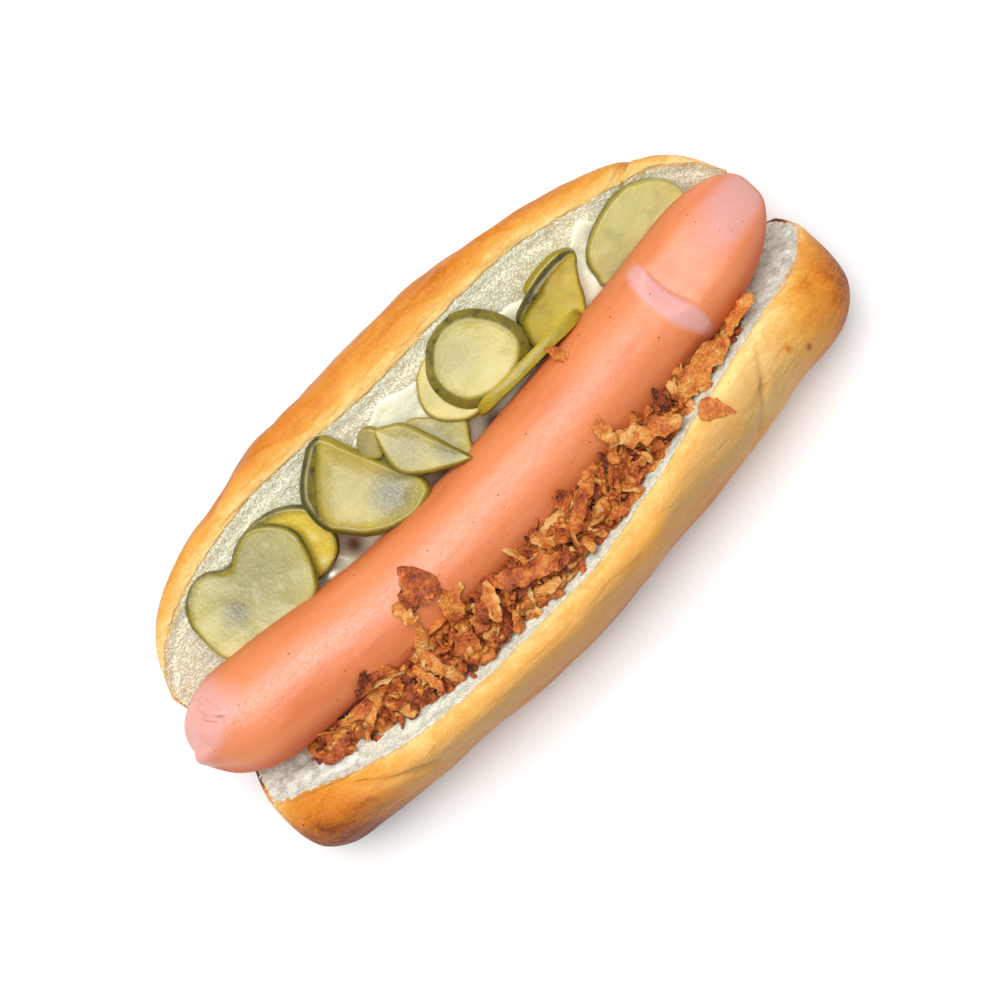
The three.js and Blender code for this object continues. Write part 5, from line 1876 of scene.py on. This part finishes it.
@dataclass
class FriedOnions(Filling):
    """The heap of fried onions between the sausage and the crumb, and the flakes that fell beside it.

    The core under the flakes, near-black as painted shade for the gaps between them, lies core_depth below the
    heap's surface, and flakes keep a margin to its ends.
    big and small are ranges of length and width, and bit_sizes of length, width and thickness.
    """

    heap_top: Curve = Curve((
        (-72, 25), (-58, 30), (-42, 34), (-28, 36.5), (12, 36), (40, 32.5), (64, 27.5),
    ))
    core_depth: float = 2.2
    core_tone: float = 0.08
    margin: float = 1.5
    flakes: int = 420
    big_share: float = 0.4
    big: tuple[tuple[float, float], ...] = ((8.0, 15.0), (1.6, 4.6))
    small: tuple[tuple[float, float], ...] = ((3.0, 8.0), (1.2, 4.0))
    thin: tuple[float, float] = (0.5, 0.9)
    deepest: float = 3.0
    bits: int = 460
    bit_sizes: tuple[tuple[float, float], ...] = ((1.5, 4.0), (1.2, 2.8), (0.8, 1.6))
    thickness: float = 0.75
    on_heap: tuple[LaidFlake, ...] = (
        LaidFlake(-8.5, -25.0, 19.0, 4.6, -24, 0.42, 2.2, 0.9),
        LaidFlake(-40.5, -19.0, 9.4, 1.8, -33, 0.22, 2.0, 0.4),
        LaidFlake(-40.8, -25.4, 9.2, 1.9, -83, 0.66, 2.0, 0.3),
        LaidFlake(31.0, -20.8, 17.0, 4.2, -27, 0.72, 2.6, 1.4),
        LaidFlake(50.5, -18.8, 17.0, 5.4, 6, 0.7, 2.6, 0.9, 0.3),
        LaidFlake(-66.5, -21.4, 10.0, 2.6, 6, 0.34, 1.4, 0.4),
        LaidFlake(-19.0, -23.4, 9.5, 3.0, 62, 0.78, 2.4, 0.6),
        LaidFlake(9.5, -22.5, 13.0, 3.2, 30, 0.5, 2.6, 1.0),
    )
    on_sausage: tuple[LaidFlake, ...] = (
        LaidFlake(29.6, 4.0, 7.4, 2.2, -67, 0.56, 0.7),
        LaidFlake(45.6, -15.6, 4.8, 1.8, -60, 0.6),
        LaidFlake(24.4, -13.4, 9.0, 3.8, -84, 0.68, 0.7, 0.5),
        LaidFlake(64.6, -16.2, 11.0, 4.0, 17, 0.66, 3.2, 0.5, -0.5),
        LaidFlake(-50.8, -15.4, 9.0, 3.8, 26, 0.3),
        LaidFlake(-34.1, -12.0, 6.2, 3.4, -86, 0.74),
        LaidFlake(-29.0, -10.2, 9.6, 8.0, 28, 0.36, 0.4, 0.3, 0.0, -0.35),
        LaidFlake(-25.2, -16.2, 10.0, 5.0, 54, 0.6, 0.8, 0.4),
    )
    on_rim: tuple[LaidFlake, ...] = (LaidFlake(45.2, -28.6, 8.4, 4.0, -52, 0.6, 0.9, 0.3, 0.0, 0.75),)

    def surface(self, x: np.ndarray, y: np.ndarray) -> np.ndarray:
        """The heap's height over (x, y): its top, rounded down to the crumb at its edges."""
        low, high = self.limits(x)
        across = np.clip(np.abs(2 * (y - low) / (high - low) - 1), 0, 1)
        floor = self.bun.crumb_height(x, y)
        return floor + np.maximum(0.4, self.heap_top(x) - floor) * self.fullness(x, across)

    def core(self, uneven: Unevenness) -> Shell:
        """The dark core under the flakes, core_depth below the heap's surface, painted near-black as the shade
        in the gaps between them.

        Args:
            uneven: the noise that roughens it.

        Returns:
            The closed shell, with the mark tone.
        """
        first, last = self.ends[0] + 1, self.ends[1] - 1
        stations, shares = np.linspace(first, last, self.rows), np.linspace(0, 1, self.columns)
        x, v = np.meshgrid(stations, shares, indexing="ij")
        low, high = self.limits(x)
        y = mix(low + 1.0, high, v)
        floor = self.bun.crumb_height(x, y) - 0.5
        top = self.surface(x, y) - self.core_depth
        flat = np.stack([x, y, top], -1)
        top = top + 1.1 * uneven.layered(flat, 2.6, 3)
        edge = np.minimum(ramp(0, 0.06, v), ramp(1, 0.94, v)) * ramp(0, 1, x - first) * ramp(0, 1, last - x)
        upper = floor + np.maximum(top - floor, 0.1) * edge
        shell = between_sheets(np.stack([x, y, upper], -1), np.stack([x, y, floor], -1))
        # Painted shade: the core's near-black tone stands for the shade between the flakes.
        shell.marks["tone"] = np.full(len(shell.points), self.core_tone)
        return shell

    def strewn(self) -> Flakes:
        """The heap's flakes, drawn at random: evenly along it and mostly flat.

        Returns:
            The flakes, whose centres are clear of the sausage.
        """
        drawn = np.random.default_rng(11)
        count = self.flakes
        share = (np.arange(count) + drawn.uniform(0, 1, count)) / count
        x = mix(self.ends[0] + self.margin, self.ends[1] - self.margin, share)
        y = mix(*self.limits(x), drawn.uniform(0.02, 0.98, count))
        big = drawn.uniform(0, 1, count) < self.big_share
        length, width = (
            np.where(big, drawn.uniform(*large, count), drawn.uniform(*little, count))
            for large, little in zip(self.big, self.small)
        )
        thick = drawn.uniform(*self.thin, count)
        depth = drawn.uniform(0, 1, count) ** 1.4 * self.deepest
        z = np.maximum(self.surface(x, y) - depth, self.bun.crumb_height(x, y) + 0.5)
        turn = np.stack([
            drawn.normal(0, 0.5, count), drawn.normal(0, 0.35, count), drawn.uniform(0, 2 * np.pi, count)
        ], -1)
        centre = self.clear_of_sausage(np.stack([x, y, z], -1), 0.9)
        return Flakes(
            centre, np.stack([length, width, thick], -1), turn, drawn.uniform(-0.6, 1.4, count),
            drawn.uniform(-0.8, 1.2, count), np.clip(drawn.normal(0.5, 0.2, count), 0.1, 0.95),
            drawn.uniform(0, 90, count), drawn.uniform(-0.6, 0.6, count),
        )

    def crumbs(self) -> Flakes:
        """Broken bits between the flakes, drawn at random: thick for their size and at any angle.

        Returns:
            The crumbs, whose centres are clear of the sausage.
        """
        drawn = np.random.default_rng(29)
        count = self.bits
        x = drawn.uniform(self.ends[0] + self.margin, self.ends[1] - self.margin, count)
        low, high = self.limits(x)
        y = mix(low - 0.6, high, drawn.uniform(0, 1, count))
        sunk = self.surface(x, y) - drawn.uniform(-0.7, 1.6, count)
        z = np.maximum(sunk, self.bun.crumb_height(x, y) + 0.4)
        centre = self.clear_of_sausage(np.stack([x, y, z], -1), 0.8)
        size = np.stack([drawn.uniform(*limits, count) for limits in self.bit_sizes], -1)
        return Flakes(
            centre, size, drawn.uniform(-1.5, 1.5, (count, 3)),
            drawn.uniform(-0.3, 0.3, count), drawn.uniform(-0.3, 0.5, count),
            np.clip(drawn.normal(0.52, 0.18, count), 0.1, 0.95), drawn.uniform(0, 90, count),
            drawn.uniform(-0.5, 0.5, count), rough=0.8, lengthwise=7, round_=6,
        )

    def clear_of_sausage(self, centre: np.ndarray, gap: float) -> np.ndarray:
        """Centres moved straight out from the sausage's centre line where they are nearer than its skin.

        Args:
            centre: the flakes' centres.
            gap: the clearance in mm.

        Returns:
            The moved centres.
        """
        sausage = self.bun.sausage
        x, y, z = centre.T
        middle_y, middle_z = sausage.across(x), sausage.height(x)
        dy, dz = y - middle_y, z - middle_z
        scale = np.maximum(1.0, (sausage.radius + gap) / np.maximum(np.hypot(dy, dz), 1e-6))
        return np.stack([x, middle_y + dy * scale, middle_z + dz * scale], -1)

    def laid(self, flakes: Sequence[LaidFlake], height: Callable[[np.ndarray, np.ndarray], np.ndarray],
             seed: float, rough: float = 1.0) -> Flakes:
        """Listed flakes laid on a surface, each tipped to its slope across Y.

        Args:
            flakes: the flakes.
            height: the surface's height as a function of x and y.
            seed: what their ragged edges start from.
            rough: how ragged and crinkled they are.

        Returns:
            The flakes, finer than the strewn ones.
        """
        x, y = (np.array([getattr(f, axis) for f in flakes]) for axis in ("x", "y"))
        slope = np.arctan(height(x, y + 0.5) - height(x, y - 0.5))
        lift = np.array([f.lift for f in flakes])
        centre = np.stack([x, y - np.sin(slope) * lift, height(x, y) + np.cos(slope) * lift], -1)
        yaw = np.radians([f.turn for f in flakes])
        tipped = slope + np.array([f.tilt for f in flakes])
        turn = np.stack([tipped * np.cos(yaw), np.zeros_like(yaw), yaw], -1)
        size = np.array([[f.length, f.width, self.thickness] for f in flakes])
        return Flakes(
            centre, size, turn, np.array([f.bend for f in flakes]), np.full(len(flakes), 0.25),
            np.array([f.tone for f in flakes]), seed + 3.7 * np.arange(len(flakes)),
            np.array([f.taper for f in flakes]), rough, lengthwise=22, round_=18,
        )

    def build(self, uneven: Unevenness, material: bpy.types.Material) -> None:
        """Makes the heap and the fallen flakes.

        Args:
            uneven: the noise that roughens them.
            material: the fried onions' material.
        """
        top = self.laid(self.on_heap, self.surface, 5.0)
        heap = [self.core(uneven)] + [flakes.shell(uneven) for flakes in (self.strewn(), self.crumbs(), top)]
        make_piece("fried_onion_heap", joined(heap), ["fried_onions"], material)
        fallen = self.laid(self.on_sausage, self.bun.sausage.top, 40.0, 0.95)
        make_piece("fried_onion_flakes", fallen.shell(uneven), ["sausage"], material)
        rim = self.laid(self.on_rim, lambda x, y: self.bun.rim_height(x) + 1.3 + 0 * y, 80.0, 0.35)
        make_piece("fried_onion_on_bun", rim.shell(uneven), ["bun"], material)


# ---- the studio -------------------------------------------------------------------------------------------


@dataclass
class Studio:
    """A pale floor, a large soft light from the pickles' side, and a camera almost straight above."""

    target: Point = (-2.1, -7.7, 30.0)
    distance: float = 450.0
    tilt: float = 8.0
    lens: float = 72.648
    sensor: float = 36.0
    key_place: Point = (-60.0, 140.0, 900.0)
    key_size: float = 900.0
    key_power: float = 11.2
    key_colour: tuple[float, float, float] = (1.0, 0.985, 0.96)
    fill: float = 0.4
    fill_colour: Colour = (0.97, 0.985, 1.0, 1.0)
    floor_reach: float = 3.0
    floor_colour: Colour = (0.93, 0.93, 0.93, 1.0)

    def camera(self) -> None:
        """The camera: tilted from the vertical towards -Y and rolled so that +X points up to the right."""
        tilt = math.radians(self.tilt)
        back = Vector((0.0, -math.sin(tilt), math.cos(tilt)))
        along, across = Vector((1.0, 0.0, 0.0)), Vector((0.0, math.cos(tilt), math.sin(tilt)))
        right, up = (along - across).normalized(), (along + across).normalized()
        data = bpy.data.cameras.new("camera")
        data.lens, data.sensor_width = self.lens, self.sensor
        data.clip_start, data.clip_end = 0.01, 20.0
        camera = bpy.data.objects.new("camera", data)
        axes = Matrix((right, up, back)).transposed()
        place = (Vector(self.target) + back * self.distance) * MM
        camera.matrix_world = Matrix.Translation(place) @ axes.to_4x4()
        bpy.context.scene.collection.objects.link(camera)
        bpy.context.scene.camera = camera

    def lights(self) -> None:
        """One large soft light and an even pale sky."""
        data = bpy.data.lights.new("key", "AREA")
        data.shape, data.size, data.energy = "DISK", self.key_size * MM, self.key_power
        data.color = self.key_colour
        light = bpy.data.objects.new("key", data)
        place = Vector(self.key_place) * MM
        aim = (Vector(self.target) * MM - place).to_track_quat("-Z", "Y").to_matrix().to_4x4()
        light.matrix_world = Matrix.Translation(place) @ aim
        bpy.context.scene.collection.objects.link(light)
        world = bpy.data.worlds.new("sky")
        world.use_nodes = True
        background = world.node_tree.nodes["Background"]
        background.inputs["Color"].default_value = self.fill_colour
        background.inputs["Strength"].default_value = self.fill
        bpy.context.scene.world = world
        bpy.context.scene.view_settings.view_transform = "Standard"

    def floor(self) -> None:
        """A wide pale floor that the bun rests on (its reach is in metres)."""
        material, w, surface = new_material("floor")
        w.fill(surface, Base_Color=self.floor_colour, Roughness=0.9)
        reach = self.floor_reach
        mesh = bpy.data.meshes.new("floor")
        corners = [(-reach, -reach, 0), (reach, -reach, 0), (reach, reach, 0), (-reach, reach, 0)]
        mesh.from_pydata(corners, [], [(0, 1, 2, 3)])
        mesh.materials.append(material)
        floor = bpy.data.objects.new("floor", mesh)
        bpy.context.scene.collection.objects.link(floor)


def main() -> None:
    """Builds every piece around the frame."""
    logging.basicConfig(level=logging.INFO, format="%(name)s %(message)s")
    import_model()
    uneven = Unevenness(3)
    shared = Finishes()

    sausage = Sausage()
    skin = SausageFinish().material(shared)
    make_piece("sausage_skin", sausage.shell(uneven), ["sausage"], skin)
    bun = Bun(sausage)
    make_piece("bun_bread", bun.shell(uneven), ["bun"], BreadFinish().material(shared))
    Pickles().build(uneven, PickleFinish().material(shared))
    dressing = Dressing(
        bun, (-66.0, 70.0), low=None,
        high=Curve((
            (-66, 14), (-50, 18), (-36, 18), (-26, 20), (-16, 25), (-4, 26), (4, 25), (12, 20), (26, 22.5),
            (36, 21), (44, 20), (50, 22.5), (55, 23.5), (62, 18), (70, 12),
        )),
        inset=1.0, rows=260, columns=60,
    )
    cream = DressingFinish().material(shared)
    make_piece("dressing_layer", dressing.shell(uneven), ["dressing"], cream)
    onions = FriedOnions(
        bun, (-72.0, 64.0),
        low=Curve((
            (-72, -21.5), (-55, -25.5), (-44, -28.6), (-28, -30.8), (-11, -31), (3, -30.6), (20, -28),
            (38, -23.6), (55, -19.6), (64, -18),
        )),
        high=None, inset=2.5, rows=220, columns=34,
    )
    onions.build(uneven, FriedOnionFinish().material(shared))

    studio = Studio()
    studio.floor()
    studio.lights()
    studio.camera()


if __name__ == "__main__":
    main()
